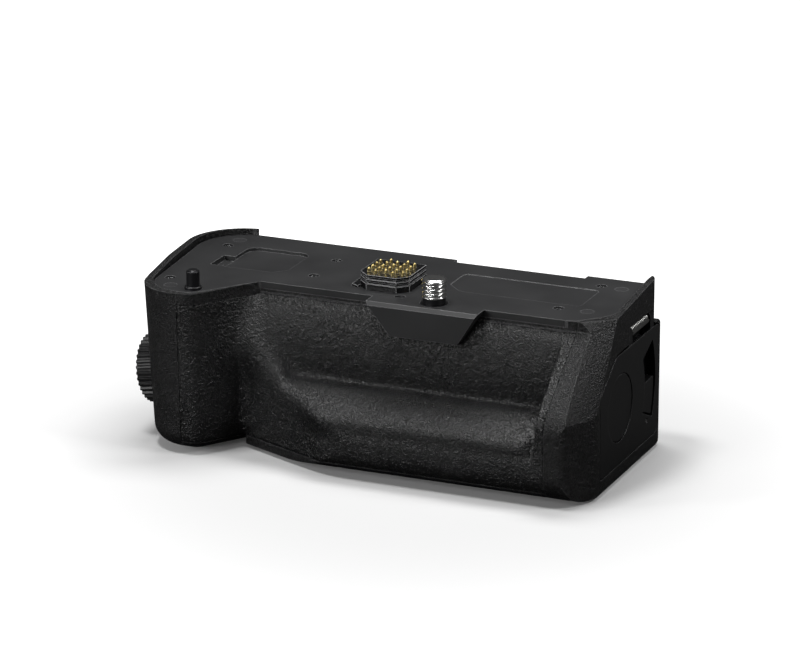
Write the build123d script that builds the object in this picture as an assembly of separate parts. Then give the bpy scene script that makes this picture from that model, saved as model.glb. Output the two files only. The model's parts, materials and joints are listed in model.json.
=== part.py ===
"""Vertical battery grip for a camera body, in millimetres.

The origin is on the axis of the camera screw, at the face that the camera
sits on. X runs along the grip to the battery door, Y to the rear, Z up to the camera.
"""
from build123d import *
import math
import os

os.makedirs("parts", exist_ok=True)

# Case: overall sizes, measured from the screw axis and down from the camera face
left_reach = 79.0
right_reach = 46.8
case_height = 42.5
rear_edge = 36.2
rear_bulge = 41.0
rear_step_top = 9.0
rear_step_low = 13.0
front_bulge = 18.0
front_edge = 0.4
parting = 14.0
pod_long = 16.0
door_end_long = 10.3
door_end_top = 7.5
seam_bend = 21.0
wall = 1.8
overrun = 5.0
floor = 2.8
seam_gap = 0.15
bottom_round = 7.0
rear_bottom_round = 6.0

# Finger lobe at the left end
lobe_front = 18.2
lobe_lean = 4.6
lobe_long = 19.5
valley_in = 31.5
lobe_low_in = 2.0
lobe_low_front = 16.6
valley_low_in = 29.5
valley_low_front = 4.5
lobe_round = 11.0
lobe_side_round = 6.0
lobe_foot_round = 5.0
left_rear_round = 15.0
thumb_in = 4.0
thumb_round = 10.0
right_rear_round = 4.5

# Lower finger bulge and its plan
band = 2.6
bulge_tall = 21.0
shoulder_round = 8.0
bulge_in = 29.0
bulge_start_front = 5.0
bulge_full = 20.5
bulge_blend = 25.0
nose_in = 5.0
nose_back = 8.5
nose_top_in = 7.3
nose_top_y = 5.5
nose_round = 3.0
nose_side_round = 6.0

# Finger pocket above the bulge
pocket_in = 29.4
pocket_left_turn = 9.0
pocket_low_in = 42.0
pocket_foot = 9.5
pocket_right_top_in = 11.4
pocket_right_low_in = 13.4
pocket_top_depth = 0.9
pocket_swell = 3.6
pocket_swell_share = 0.48
crease_depth = 2.8
crease_up = 19.7
crest_depth = 11.5
crest_drop = 1.8
pocket_turn_round = 9.0
pocket_round = 14.0

# Rims that stand above the camera face
left_rim = 1.8
right_rim = 2.6
rim_width = 1.7
rim_gap = 0.3

# Camera plate with its front tab
plate_thickness = 1.8
deck_lean = 2.6
tab_left = 16.6
tab_right = 13.6
tab_low_left = 9.8
tab_low_right = 8.6
tab_front = 5.6
tab_drop = 8.3
tab_bevel = 0.9
tab_round = 1.6
rear_notch_left = 8.6
rear_notch_right = 27.4
rear_notch_depth = 2.1
rear_notch_low = 6.4

# Rubber skins
skin = 1.0
skin_foot = 2.3
skin_top = 2.9
rear_skin_in = 41.0

# Battery bay
bay_front = 0.5
bay_width = 36.0
bay_top = 15.6
bay_foot = 6.9
bay_long = 54.6
bay_wall = 1.2
seal_wide = 1.0
seal_thick = 0.3
seal_play = 0.1

# Battery door with hinge and lock lever
door_skin = 1.2
door_depth = 3.2
door_gap = 0.35
door_rear = 36.4
door_top = 10.0
door_foot_up = 3.7
door_front = 5.4
door_slope_y = 5.4
door_slope_z = 17.0
door_round = 1.6
door_rim = 1.3
hinge_inset = 2.0
hinge_drop = 7.2
hinge_radius = 1.7
hinge_pin_radius = 0.7
hinge_front = 14.6
hinge_back = 33.4
knuckle = 2.4
hinge_play = 0.05
pin_play = 0.01
hinge_side_gap = 0.35
recess_gap = 0.55
swing_bevel = 0.8
swing_room = 0.4
lever_y = 8.6
lever_up = 0.3
lever_disc = 8.6
lever_tab_inner = 18.0
lever_tab_outer = 24.4
lever_arm_depth = 0.9
lever_gap = 0.3
lever_throw = 22.0
lever_slack = 1.5
tab_low_angle = 21.0
tab_high_angle = 2.0
lever_post = 1.5
lever_recess = 0.2
inner_plate_thick = 0.5
stop_radius = 0.7
stop_out = 1.6
stop_drop = 9.6

# Torsion spring on the hinge pin
spring_wire = 0.5
spring_turns = 13
spring_sides = 6
spring_arcs = 4
spring_samples = 24

# Base cover, feet and tripod socket
base_thickness = 1.4
base_left_in = 15.0
base_left_front = 5.0
base_right_in = 4.8
base_front = 9.5
base_rear = 32.0
base_valley_in = 32.0
base_valley_front = 1.5
base_round = 4.0
foot_radius = 1.2
foot_tall = 1.0
foot_front = 6.4
foot_right_in = 9.6
foot_left_in = 21.0
foot_left_front = 8.0
foot_rear = 28.0
socket_y = 15.0
socket_radius = 3.175
socket_flange = 6.4
socket_flange_thick = 1.0
socket_deep = 4.6
socket_wall = 1.6
base_screw_radius = 1.5
base_screw_tall = 2.4
base_screw_sink = 0.25
base_screws_left = ((21.0, 2.0), (21.0, 27.0))
base_screws_middle = ((-20.0, 27.0), (-14.0, -4.0))
base_screws_right = ((10.8, 27.0), (15.8, -4.0))

# Camera screw with its pinion, idler gear and rear thumb wheel
screw_radius = 3.175
screw_neck = 2.95
neck_top = 2.0
screw_rise = 6.6
screw_chamfer = 0.5
screw_collar = 3.6
collar_top = 0.9
collar_tall = 2.2
journal_radius = 1.5
journal_tall = 1.4
running = 0.05
gear_module = 0.65
gear_thick = 2.4
gear_drop = 5.3
pinion_teeth = 12
idler_teeth = 27
wheel_teeth = 18
tooth_tip = 0.9
tooth_root = 1.3
tip_half_share = 0.13
root_half_share = 0.30
wheel_radius = 11.0
wheel_thick = 2.8
wheel_step = 0.3
wheel_ribs = 44
wheel_rib = 0.45
clip_seat = 1.0
axle_radius = 1.2
axle_head = 2.0
head_seat = 0.2
axle_head_tall = 0.8
wheel_gap = 0.5
bush_wall = 0.6
tab_bore = 4.9
frame_thick = 1.5
frame_half = 3.0

# Terminal block and its pins
block_left = 22.6
block_right = 9.2
block_front = 3.4
block_rear = 17.0
block_rise = 4.0
block_corner = 2.6
block_step = 0.9
block_step_tall = 1.2
block_steps = 2
wing = 2.2
wing_rise = 0.5
wing_sink = 0.8
block_sink = 5.0
pin_radius = 0.42
pin_sides = 8
pin_rise = 1.1
pin_tip = 0.25
pin_travel = 0.8
pin_columns_share = (4, 5, 4, 5, 4)
pin_pitch_x = 2.35
pin_pitch_y = 2.5
pin_first_x = 20.6
pin_middle_y = 10.3

# Guide pin and marks on the camera plate
guide_in = 18.3
guide_y = 12.6
guide_radius = 1.75
guide_rise = 5.0
guide_flange = 2.3
guide_flange_rise = 0.7
guide_sink = 3.0
guide_chamfer = 0.4
plate_screw_radius = 1.35
plate_screw_tall = 1.6
plate_screw_sink = 0.3
pad_radius = 1.7
pad_deep = 0.8
plate_screws_left = ((10.5, 24.9), (8.8, -6.2))
plate_screws_middle = ((-37.0, 23.4), (-37.1, 9.3), (-9.9, 1.5))
plate_screws_right = ((13.2, 29.6), (16.7, 8.3))
pads_left = ((11.4, 30.1), (11.7, -12.0))
pads_right = ((7.6, 29.0), (9.1, 8.4))

# Cap storage recess and bare label recess
store_in = 16.6
store_right_in = 34.0
store_front = 7.6
store_rear = 26.0
store_deep = 0.9
store_cut = 3.2
slot_in = 13.4
slot_front = 8.0
slot_rear = 16.4
slot_deep = 1.4
label_left = 2.2
label_right_in = 12.2
label_front = 11.6
label_rear = 25.8
label_deep = 0.15
label_slant = 4.4
label_round = 1.5

# Dials, buttons, stick and lock at the left end
dial_y = 1.0
dial_up = 14.9
dial_radius = 9.0
dial_out = 0.4
dial_tall = 5.6
dial_tilt = 9.0
dial_bore = 5.4
dial_ribs = 36
dial_rib = 0.45
rib_shares = (0, 0.25, 0.5, 0.75)
post_radius = 5.3
post_sink = 1.4
button_radius = 4.6
button_rise = 0.6
button_tall = 3.4
button_travel = 0.9
button_stem = 2.2
button_stem_tall = 2.6
rear_dial_radius = 9.2
rear_dial_y = 32.6
rear_dial_up = 18.5
rear_dial_in = 10.5
rear_dial_thick = 4.0
rear_dial_ribs = 34
rear_dial_rib = 0.45
rear_dial_axle = 1.5
slot_gap = 0.5
side_button_radius = 2.1
side_button_rise = 0.8
side_button_tall = 3.4
side_button_travel = 0.5
side_button_y = 20.0
side_button_top = 10.5
side_button_pitch = 7.2
side_button_count = 3
fit_gap = 0.15
button_edge = 0.3
lock_button_in = 35.0
lock_button_drop = 18.5
lock_button_radius = 3.4
lock_button_rise = 0.7
lock_button_tall = 3.4
lock_button_travel = 0.5
stick_in = 22.0
stick_under_switch = 11.2
stick_radius = 3.1
stick_rise = 2.4
stick_stem = 1.1
stick_tall = 5.6
stick_bezel = 4.9
stick_bezel_rise = 0.4
stick_play = 0.5
stick_ring_tall = 1.4
stick_cap = 1.2
switch_drop = 13.8
switch_radius = 3.0
switch_rise = 0.8
switch_tab = 2.2
switch_tab_half = 1.0
switch_tall = 3.2

# Circuit board and contacts
board_thick = 1.2
board_in = 21.0
board_right = 10.2
board_front = 4.0
board_rear = 31.0
contact_wide = 1.6
contact_thick = 0.5
contact_tall = 5.0
contact_pitch = 3.2
contact_count = 4
contact_first = 6.0
contact_up = 4.6
contact_reach = 0.8
catch_y = 26.0
catch_wide = 6.0
catch_thick = 1.2
catch_long = 7.0
catch_travel = 1.6
catch_gap = 0.3

# Places worked out from the sizes above

left_seam = left_reach - pod_long
right_seam = right_reach - door_end_long
right_seam_top = right_reach - door_end_top
lobe_right = left_reach - lobe_long
valley = left_reach - valley_in
lobe_low_left = left_reach - lobe_low_in
valley_low = left_reach - valley_low_in
lobe_slope_share = lobe_lean / (lobe_front + parting)
flank_share = (lobe_right - valley) / (lobe_front - front_edge)
thumb_left = left_reach - thumb_in
shoulder = case_height - bulge_tall
bulge_start = left_reach - bulge_in
nose_x = right_reach - nose_in
nose_top_x = right_reach - nose_top_in
pocket_left = left_reach - pocket_in
pocket_low_x = left_reach - pocket_low_in
pocket_low = case_height - pocket_foot
pocket_right_top = right_reach - pocket_right_top_in
pocket_right_low = right_reach - pocket_right_low_in
crease_z = case_height - crease_up
crest_z = crease_z + crest_drop
pocket_swell_z = crease_z * pocket_swell_share
skin_low = case_height - skin_foot
rear_skin_left = left_reach - rear_skin_in
hinge_x = right_reach - hinge_inset
door_back = right_reach - door_depth
bay_mouth = door_back - seal_thick - seal_play
bay_rear = bay_width - bay_front
bay_low = case_height - bay_foot
door_foot = case_height - door_foot_up
swing_top = door_gap + swing_room - door_top
lever_drop = (door_top + door_foot) / 2 - lever_up
base_left = left_reach - base_left_in
base_right = right_reach - base_right_in
base_valley = left_reach - base_valley_in
foot_right = right_reach - foot_right_in
foot_left = left_reach - foot_left_in
deck_low = -plate_thickness
screw_low = -gear_drop - gear_thick
wheel_low = wheel_step - gear_drop
wheel_top = wheel_low + wheel_thick
first_step = gear_module * (pinion_teeth + idler_teeth) / 2
drive_length = first_step + gear_module * (idler_teeth + wheel_teeth) / 2
wheel_x = (rear_notch_right - rear_notch_left) / 2
wheel_y = math.sqrt(drive_length**2 - wheel_x**2)
idler_x = wheel_x * first_step / drive_length
idler_y = wheel_y * first_step / drive_length
drive_angle = math.degrees(math.atan2(wheel_y, wheel_x))
board_top = -block_sink
guide_x = left_reach - guide_in
store_left = left_reach - store_in
store_right = left_reach - store_right_in
slot_left = left_reach - slot_in
label_right = right_reach - label_right_in
dial_drop = case_height - dial_up
dial_x = left_reach + dial_out
dial_floor = dial_tall + slot_gap / 2
rear_dial_drop = case_height - rear_dial_up
rear_dial_left = left_reach - rear_dial_in
lock_button_x = left_reach - lock_button_in
stick_x = left_reach - stick_in
stick_drop = switch_drop + stick_under_switch
board_left = left_reach - board_in
contact_low = contact_up - bay_low


def placed(left, middle, right):
    """One list of places, given from the left end, the screw axis and the door end."""
    places = [(inward - left_reach, y) for inward, y in left]
    places += list(middle)
    return places + [(right_reach - inward, y) for inward, y in right]


base_screw_places = placed(base_screws_left, base_screws_middle, base_screws_right)
plate_screw_places = placed(plate_screws_left, plate_screws_middle, plate_screws_right)
pad_places = placed(pads_left, (), pads_right)

# Helpers


def corner_face(points, radii):
    """A flat face whose corners are rounded one by one."""
    face = make_face(Polyline(*points, close=True))
    for place, radius in zip(points, radii):
        if radius:
            corner = face.vertices().sort_by_distance(place)[0]
            face = fillet(corner, radius)
    return face


def slab_z(face, low, high):
    """Push a plan face up from one height to another."""
    return extrude(Pos(0, 0, low) * face, amount=high - low, dir=(0, 0, 1))


def slab_x(face, left, right):
    """Push a side profile, drawn as (Y, Z), along X."""
    return extrude(Pos(left, 0, 0) * (Plane.YZ * face), amount=right - left, dir=(1, 0, 0))


def slab_y(face, front, back):
    """Push a front outline, drawn as (X, Z), along Y."""
    return extrude(Pos(0, front, 0) * (Plane.XZ * face), amount=back - front, dir=(0, 1, 0))


def block(left, right, front, back, low, high):
    """A box between six planes."""
    size = Box(right - left, back - front, high - low)
    return Pos((left + right) / 2, (front + back) / 2, (low + high) / 2) * size


def prism(foot, low, top, high):
    """A closed body with flat sides between two outlines of as many corners."""
    under = [(x, y, low) for x, y in foot]
    over = [(x, y, high) for x, y in top]
    faces = [make_face(Polyline(*under, close=True)), make_face(Polyline(*over, close=True))]
    for corner in range(len(foot)):
        ring = Polyline(under[corner - 1], under[corner], over[corner], over[corner - 1], close=True)
        faces.append(make_face(ring))
    return Solid(Shell(faces))


def round_upright(body, foot, top, corner, radius):
    """Round one of a prism's nearly upright edges."""
    middle_x = (foot[corner][0] + top[corner][0]) / 2
    middle_y = (foot[corner][1] + top[corner][1]) / 2
    edge = body.edges().sort_by_distance((middle_x, middle_y, -case_height / 2))[0]
    return fillet(edge, radius)


def rod(x, y, radius, low, high):
    """An upright cylinder between two heights."""
    return Pos(x, y, (low + high) / 2) * Cylinder(radius, high - low)


def rod_x(y, z, radius, left, right):
    """A cylinder along X."""
    return Pos((left + right) / 2, y, z) * Rot(0, 90, 0) * Cylinder(radius, right - left)


def rod_y(x, z, radius, front, back):
    """A cylinder along Y."""
    return Pos(x, (front + back) / 2, z) * Rot(90, 0, 0) * Cylinder(radius, back - front)


# Case


def lobe_plan(inset, left, right, edge, front, edge_front):
    """Plan of the finger lobe at one height, drawn in by a wall where it is hollow."""
    lean = lobe_slope_share * (front + parting - inset)
    return [
        (inset - left, parting),
        (inset - left + lean, inset - front),
        (-inset - right, inset - front),
        (-inset - edge, inset - edge_front),
        (-inset - edge, parting),
    ]


def lobe(inset):
    """The finger lobe at the left end, which narrows towards its foot."""
    low_right = valley_low + flank_share * (lobe_low_front - valley_low_front)
    top = lobe_plan(inset, left_reach, lobe_right, valley, lobe_front, front_edge)
    foot = lobe_plan(inset, lobe_low_left, low_right, valley_low, lobe_low_front, valley_low_front)
    body = prism(foot, inset - case_height, top, -inset)
    body = round_upright(body, foot, top, 1, lobe_round - inset)
    body = round_upright(body, foot, top, 2, lobe_side_round - inset)
    low = body.faces().sort_by(Axis.Z)[0]
    rim = low.edges().filter_by(lambda edge: edge.center().Y < parting - seam_gap)
    rim = rim.filter_by(lambda edge: edge.center().X < -inset - valley_low - seam_gap)
    return fillet(rim, lobe_foot_round - inset)


def hull_profile(inset):
    """Side profile (Y, Z) of the grip's full front, without the finger pocket."""
    return corner_face(
        [
            (parting, -inset),
            (inset - front_edge, -inset),
            (inset - front_edge, -inset - band),
            (inset - front_bulge, -shoulder),
            (inset - front_bulge, inset - case_height),
            (parting, inset - case_height),
        ],
        [0, 0, 0, shoulder_round, bottom_round - inset, 0],
    )


def front_plan():
    """Plan of the lower bulge and the nose at the door end."""
    return corner_face(
        [
            (-bulge_start, parting),
            (-bulge_start, -bulge_start_front),
            (-bulge_full, -front_bulge),
            (nose_x, -front_bulge),
            (right_reach, -nose_back),
            (right_reach, parting),
        ],
        [0, 0, bulge_blend, nose_round, nose_side_round, 0],
    )


def pocket():
    """The finger pocket: its front outline crossed with its side profile."""
    outline = corner_face(
        [
            (-pocket_left, -band),
            (-pocket_left, -pocket_left_turn),
            (-pocket_low_x, -crease_z),
            (-bulge_full, -pocket_low),
            (pocket_right_low, -pocket_low),
            (pocket_right_top, -band),
        ],
        [0, pocket_turn_round, pocket_round, 0, 0, nose_round],
    )
    swell = ThreePointArc(
        (-front_edge - pocket_top_depth, -band),
        (-front_edge - pocket_swell, -pocket_swell_z),
        (-front_edge - crease_depth, -crease_z),
    )
    crest = ThreePointArc(
        (-front_edge - crease_depth, -crease_z),
        (-crest_depth, -crest_z),
        (-front_bulge, -pocket_low),
    )
    rest = Polyline(
        (-front_bulge, -pocket_low),
        (-front_bulge - overrun, -pocket_low),
        (-front_bulge - overrun, -band),
        (-front_edge - pocket_top_depth, -band),
    )
    side = make_face(swell + crest + rest)
    across = slab_y(outline, -front_bulge - overrun, parting)
    return across & slab_x(side, -pocket_left - overrun, right_reach)


def front_body():
    """Everything of the case in front of the parting, as one closed form."""
    ridge = slab_x(hull_profile(0), -bulge_start, right_reach)
    ridge &= slab_z(front_plan(), -case_height, 0)
    return lobe(0) + (ridge - pocket())


def thumb_profile(inset):
    """Side profile (Y, Z) of the thumb bulge at the rear."""
    step = rear_step_low - rear_step_top
    return corner_face(
        [
            (parting, -rear_step_top),
            (rear_edge - inset, -rear_step_top),
            (rear_bulge - inset, -rear_step_low),
            (rear_bulge - inset, inset - case_height),
            (parting, inset - case_height),
        ],
        [0, 0, step, rear_bottom_round - inset, 0],
    )


def rear_plan(inset, left, back, turn):
    """Plan of the rear half, from the parting to a rear line."""
    return corner_face(
        [
            (inset - left, parting),
            (inset - left, back - inset),
            (right_reach, back - inset),
            (right_reach, parting),
        ],
        [0, turn - inset, right_rear_round - inset, 0],
    )


def rear_outline(left, back):
    """The four corners of the rear half at one height."""
    return [(left, parting), (left, back), (right_reach, back), (right_reach, parting)]


def rear_body(inset):
    """Everything of the case behind the parting."""
    back = rear_edge - inset
    foot = rear_outline(inset - lobe_low_left, back)
    top = rear_outline(inset - left_reach, back)
    upper = prism(foot, inset - case_height, top, -inset)
    upper = round_upright(upper, foot, top, 1, left_rear_round - inset)
    upper = round_upright(upper, foot, top, 2, right_rear_round - inset)
    thumb = slab_z(rear_plan(inset, thumb_left, rear_bulge, thumb_round), -case_height, 0)
    return upper + (thumb & slab_x(thumb_profile(inset), -left_reach, right_reach))


def nose_cutter():
    """The slanting corner between the upper front and the door end."""
    reach = right_reach + overrun
    top = Polyline(
        (nose_top_x, -front_edge), (right_reach, nose_top_y), (reach, -front_edge - overrun), close=True
    )
    low = Polyline(
        (nose_x, -front_bulge), (right_reach, -nose_back), (reach, -front_bulge - overrun), close=True
    )
    return loft([Pos(0, 0, -shoulder) * make_face(low), make_face(top)], ruled=True)


def deck_plan(rim, gap):
    """Plan of the camera plate, drawn in by the rims at both ends."""
    edge = rim + gap
    return corner_face(
        [
            (edge - left_reach, rear_edge),
            (-rear_notch_left, rear_edge),
            (-rear_notch_left, rear_edge - rear_notch_depth),
            (rear_notch_right, rear_edge - rear_notch_depth),
            (rear_notch_right, rear_edge),
            (right_reach - edge, rear_edge),
            (right_reach - edge, nose_top_y + deck_lean),
            (nose_top_x - edge, -front_edge),
            (-valley, -front_edge),
            (-lobe_right, edge - lobe_front),
            (edge + lobe_lean - left_reach, edge - lobe_front),
        ],
        [left_rear_round - edge, 0, 0, 0, 0, 0, nose_side_round, nose_side_round, 0,
         lobe_side_round - edge, lobe_round - edge],
    )


def door_end_region(gap):
    """The slice of the grip to the right of the slanting seam."""
    far = right_reach + overrun
    deep = case_height + overrun
    outline = Polyline(
        (right_seam + gap, -deep),
        (right_seam + gap, -seam_bend),
        (right_seam_top + gap, overrun),
        (far, overrun),
        (far, -deep),
        close=True,
    )
    return slab_y(make_face(outline), -front_bulge - overrun, rear_bulge + overrun)


def middle_region():
    """The slice between the left seam and the slanting right seam."""
    whole = block(
        -left_seam,
        right_reach,
        -front_bulge - overrun,
        rear_bulge + overrun,
        -case_height - overrun,
        overrun,
    )
    return whole - door_end_region(0)


def inner_front():
    """The hollow behind the finger pocket and inside the lower bulge."""
    back_of_pocket = wall + skin - pocket_swell - front_edge
    deep = wall + skin - front_bulge
    low = floor - case_height
    profile = Polyline(
        (parting, 0),
        (wall - front_edge, 0),
        (wall - front_edge, -band),
        (back_of_pocket, -pocket_swell_z),
        (back_of_pocket, -crease_z - wall),
        (-crest_depth, -crest_z - wall - skin),
        (deep, -pocket_low),
        (deep, low + bottom_round - wall),
        (-crest_depth, low),
        (parting, low),
        close=True,
    )
    run = slab_x(make_face(profile), -valley_low - seam_gap, nose_x - wall)
    keep = corner_face(
        [
            (-valley_low - seam_gap, parting),
            (-valley_low - seam_gap, wall),
            (-bulge_full, deep),
            (nose_x - wall, deep),
            (nose_x - wall, parting),
        ],
        [0, 0, bulge_blend - wall, 0, 0],
    )
    return run & slab_z(keep, -case_height, overrun)


def hollow():
    """The inside of the whole case."""
    room = block(
        -left_reach,
        bay_mouth - wall,
        -front_bulge,
        rear_bulge,
        floor - case_height,
        0,
    )
    return ((lobe(wall) + rear_body(wall)) & room) + inner_front()


# Shapes that several pieces share


def door_outline(gap):
    """Outline (Y, Z) of the battery door, widened by a gap."""
    return corner_face(
        [
            (-door_front - gap, -door_foot - gap),
            (-door_front - gap, -door_slope_z + gap),
            (door_slope_y - gap, -door_top + gap),
            (door_rear + gap, -door_top + gap),
            (door_rear + gap, -door_foot - gap),
        ],
        [door_round + gap] * 5,
    )


def bay_block(grow, left, right):
    """The battery's space, grown by a wall, between two planes."""
    return block(left, right, -bay_front - grow, bay_rear + grow, -bay_low - grow, -bay_top + grow)


def dial_place():
    """Where the front dial turns: its axis leans down to the left."""
    return Pos(-dial_x, dial_y, -dial_drop) * Rot(0, 90 - dial_tilt, 0)


def tab_solid(gap):
    """The tab that hangs in front of the edge below the lens mount."""
    outline = corner_face(
        [
            (-tab_left - gap, 0),
            (-tab_low_left - gap, -tab_drop - gap),
            (tab_low_right + gap, -tab_drop - gap),
            (tab_right + gap, 0),
        ],
        [0, tab_round + gap, tab_round + gap, 0],
    )
    return slab_y(outline, -tab_front, -front_edge)


def recesses():
    """Everything that is cut from the case for pieces seated in its surface."""
    gone = slab_z(deck_plan(rim_width, 0), deck_low, overrun)
    gone += slab_z(base_plan(0), -case_height - overrun, base_thickness - case_height)
    gone += slab_x(door_outline(door_gap), door_back, right_reach + overrun)
    gone += block(
        right_reach - swing_bevel, right_reach + overrun, door_slope_y, door_rear + door_gap, -door_top, swing_top
    )
    gone += bay_block(bay_wall + seam_gap, -bay_long, door_back + overrun)
    gone += hinge_recess()
    gone += rod(0, 0, tab_bore, screw_low - head_seat, overrun)
    gone += rod(0, 0, frame_half + seam_gap, screw_low - frame_thick - seam_gap * 2, 0)
    gone += tab_solid(seam_gap)
    gone += rod(0, socket_y, socket_radius + socket_wall + running, -case_height, socket_deep - case_height + wall)
    for x, y in base_screw_places:
        gone += rod(x, y, base_screw_radius / 2 + running, -case_height, base_screw_tall + wall - case_height)
    gone += wheel_slot()
    gone += catch_room()
    gone += rod(-guide_x, -guide_y, guide_radius, -guide_sink, 0)
    for x, y in plate_screw_places:
        gone += rod(x, y, plate_screw_radius, -plate_screw_sink - plate_screw_tall, 0)
    return gone + control_openings()


def catch_room():
    """The space above the bay in which the battery catch slides."""
    half = catch_wide / 2 + catch_gap
    return block(
        bay_mouth - catch_long, door_back + overrun, catch_y - half, catch_y + half, -bay_top,
        -bay_top + bay_wall + catch_travel + catch_gap,
    )


def hinge_recess():
    """The open trough over the door in which the hinge lies."""
    return block(
        hinge_x - hinge_radius - recess_gap,
        right_reach + overrun,
        hinge_front,
        hinge_back,
        -door_top - door_gap,
        -hinge_drop + hinge_radius + recess_gap,
    ) + rod_y(hinge_x, -hinge_drop, hinge_pin_radius, hinge_front - knuckle / 2, hinge_back + knuckle / 2)


def wheel_slot():
    """The rear opening through which the thumb wheel is turned."""
    return rod(wheel_x, wheel_y, wheel_radius + wheel_gap, -gear_drop - wheel_gap, deck_low)


def rear_notch(grow, low):
    """The notch in the rear edge round the thumb wheel."""
    return block(
        -rear_notch_left - grow,
        rear_notch_right + grow,
        rear_edge - rear_notch_depth - grow,
        rear_bulge + overrun,
        low,
        overrun,
    )


def control_openings():
    """Bores for the dials, buttons, stick and lock."""
    cup = Cylinder(dial_radius + slot_gap, dial_floor + overrun)
    gone = dial_place() * Pos(0, 0, dial_floor / 2 - overrun / 2) * cup
    gone += dial_place() * Pos(0, 0, dial_tall) * Cylinder(button_stem + fit_gap, dial_tall * 2)
    gone += rod_x(
        rear_dial_y,
        -rear_dial_drop,
        rear_dial_radius + slot_gap,
        -rear_dial_left - slot_gap,
        -rear_dial_left + rear_dial_thick + slot_gap,
    )
    gone += rod_x(rear_dial_y, -rear_dial_drop, rear_dial_axle, -rear_dial_left - slot_gap - wall, -left_seam)
    deep = side_button_tall + side_button_travel
    for row in range(side_button_count):
        z = -side_button_top - row * side_button_pitch
        gone += rod_x(side_button_y, z, side_button_radius + fit_gap, -left_reach - overrun, deep - left_reach)
    back = rear_bulge + overrun
    deep = rear_bulge - lock_button_tall - lock_button_travel
    gone += rod_y(-lock_button_x, -lock_button_drop, lock_button_radius + fit_gap, deep, back)
    gone += rod_y(-stick_x, -stick_drop, stick_bezel - fit_gap, rear_bulge - stick_tall - wall, back)
    gone += rod_y(-stick_x, -switch_drop, switch_radius + fit_gap, rear_bulge - switch_tall - wall, back)
    return gone


def base_plan(gap):
    """Plan of the base cover."""
    return corner_face(
        [
            (-base_left + gap, base_rear - gap),
            (base_right - gap, base_rear - gap),
            (base_right - gap, gap - base_front),
            (-bulge_full, gap - base_front),
            (-base_valley, base_valley_front + gap),
            (-base_left + gap, gap - base_left_front),
        ],
        [base_round] * 6,
    )


# Pieces of the case


def left_rim_band():
    """The raised lip round the left end, which sinks towards the front."""
    outer = slab_z(deck_plan(0, 0), deck_low, left_rim)
    ring = outer - slab_z(deck_plan(rim_width, 0), deck_low - overrun, overrun)
    ring &= block(-left_reach, -left_seam - rim_width, -lobe_front, rear_edge, -case_height, left_rim)
    slope = Polyline(
        (-lobe_front, 0),
        (lobe_side_round, left_rim),
        (lobe_side_round, left_rim + overrun),
        (-lobe_front - overrun, left_rim + overrun),
        (-lobe_front - overrun, 0),
        close=True,
    )
    return ring - slab_x(make_face(slope), -left_reach - overrun, 0)


def right_rim_band():
    """The lip at the door end, highest at the rear horn."""
    strip = block(right_reach - rim_width, right_reach, -front_edge, rear_edge, deck_low, right_rim)
    strip -= nose_cutter()
    slope = Polyline(
        (nose_top_y, 0),
        (rear_edge - right_rear_round, right_rim),
        (rear_edge - right_rear_round, right_rim + overrun),
        (-front_edge - overrun, right_rim + overrun),
        (-front_edge - overrun, 0),
        close=True,
    )
    strip -= slab_x(make_face(slope), 0, right_reach + overrun)
    turn = corner_face(
        [(0, -front_edge), (right_reach, -front_edge), (right_reach, rear_edge), (0, rear_edge)],
        [0, 0, right_rear_round, 0],
    )
    return strip & slab_z(turn, deck_low - overrun, right_rim + overrun)


def front_skin_solid(body):
    """The rubber that covers the finger pocket, bulge and lobe."""
    region = middle_region() & block(
        -left_seam, right_reach, -front_bulge - overrun, -front_edge + skin, -skin_low, -skin_top
    )
    whole = body & region
    cover = whole - Pos(0, skin, 0) * body
    for x, z in ((skin, 0), (-skin, 0), (0, -skin)):
        cover += whole - Pos(x, skin, z) * body
    cover -= tab_solid(seam_gap)
    return cover - rod(0, 0, tab_bore, -tab_drop - seam_gap, 0)


def screw_ledge():
    """The part of the front shell that closes the foot of the tab under the pinion."""
    ledge = rod(0, 0, tab_bore - seam_gap, -tab_drop, screw_low - head_seat)
    back = -front_edge - pocket_top_depth
    foot_front = skin + seam_gap * 3 - front_edge - pocket_swell
    foot = rod(0, 0, tab_bore - seam_gap, -tab_drop - wall, -tab_drop)
    ledge += foot & block(-tab_left, tab_right, foot_front, back, -case_height, 0)
    ledge -= rod(0, 0, frame_half + seam_gap, -case_height, 0)
    return ledge & block(-tab_left, tab_right, -tab_front, back, -case_height, 0)


def rear_skin_solid(body):
    """The rubber on the thumb bulge at the rear."""
    region = block(
        -rear_skin_left, right_seam - wall, parting, rear_bulge + overrun, -skin_low + wall, -rear_step_low - wall
    )
    return (body & region) - Pos(0, -skin, 0) * body


front_all = front_body() - nose_cutter()
rear_all = rear_body(0)
front_and_rear_case = front_all + rear_all
inside = hollow()
cuts = recesses()
front_skin = front_skin_solid(front_all)
rear_skin = rear_skin_solid(rear_all)
middle = middle_region()


def front_shell():
    """The front half of the case, under the rubber."""
    body = ((front_all & middle) - front_skin) - inside - cuts
    return body + screw_ledge()


def rear_shell():
    """The rear half of the case, with the notch round the thumb wheel."""
    lining = rear_all & rear_notch(wall, -rear_notch_low - wall) & block(
        -left_reach, right_seam, parting, rear_edge, -case_height, deck_low
    )
    body = ((rear_all & middle) - rear_skin) - inside + lining
    return body - rear_notch(0, -rear_notch_low) - cuts


def dial_cheeks():
    """Two ribs inside the pod that hold the rear dial's axle."""
    half = rear_dial_axle + wall
    cheeks = block(
        -rear_dial_left - slot_gap - wall, -left_seam, rear_dial_y - half, rear_bulge,
        -rear_dial_drop - half, -rear_dial_drop + half,
    )
    return cheeks - rod_x(rear_dial_y, -rear_dial_drop, rear_dial_axle, -left_reach, -left_seam)


def dial_boss():
    """The closed cup inside the pod in which the front dial lies."""
    deep = dial_floor + wall
    return dial_place() * Pos(0, 0, deep / 2) * Cylinder(dial_radius + slot_gap + wall, deep)


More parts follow.
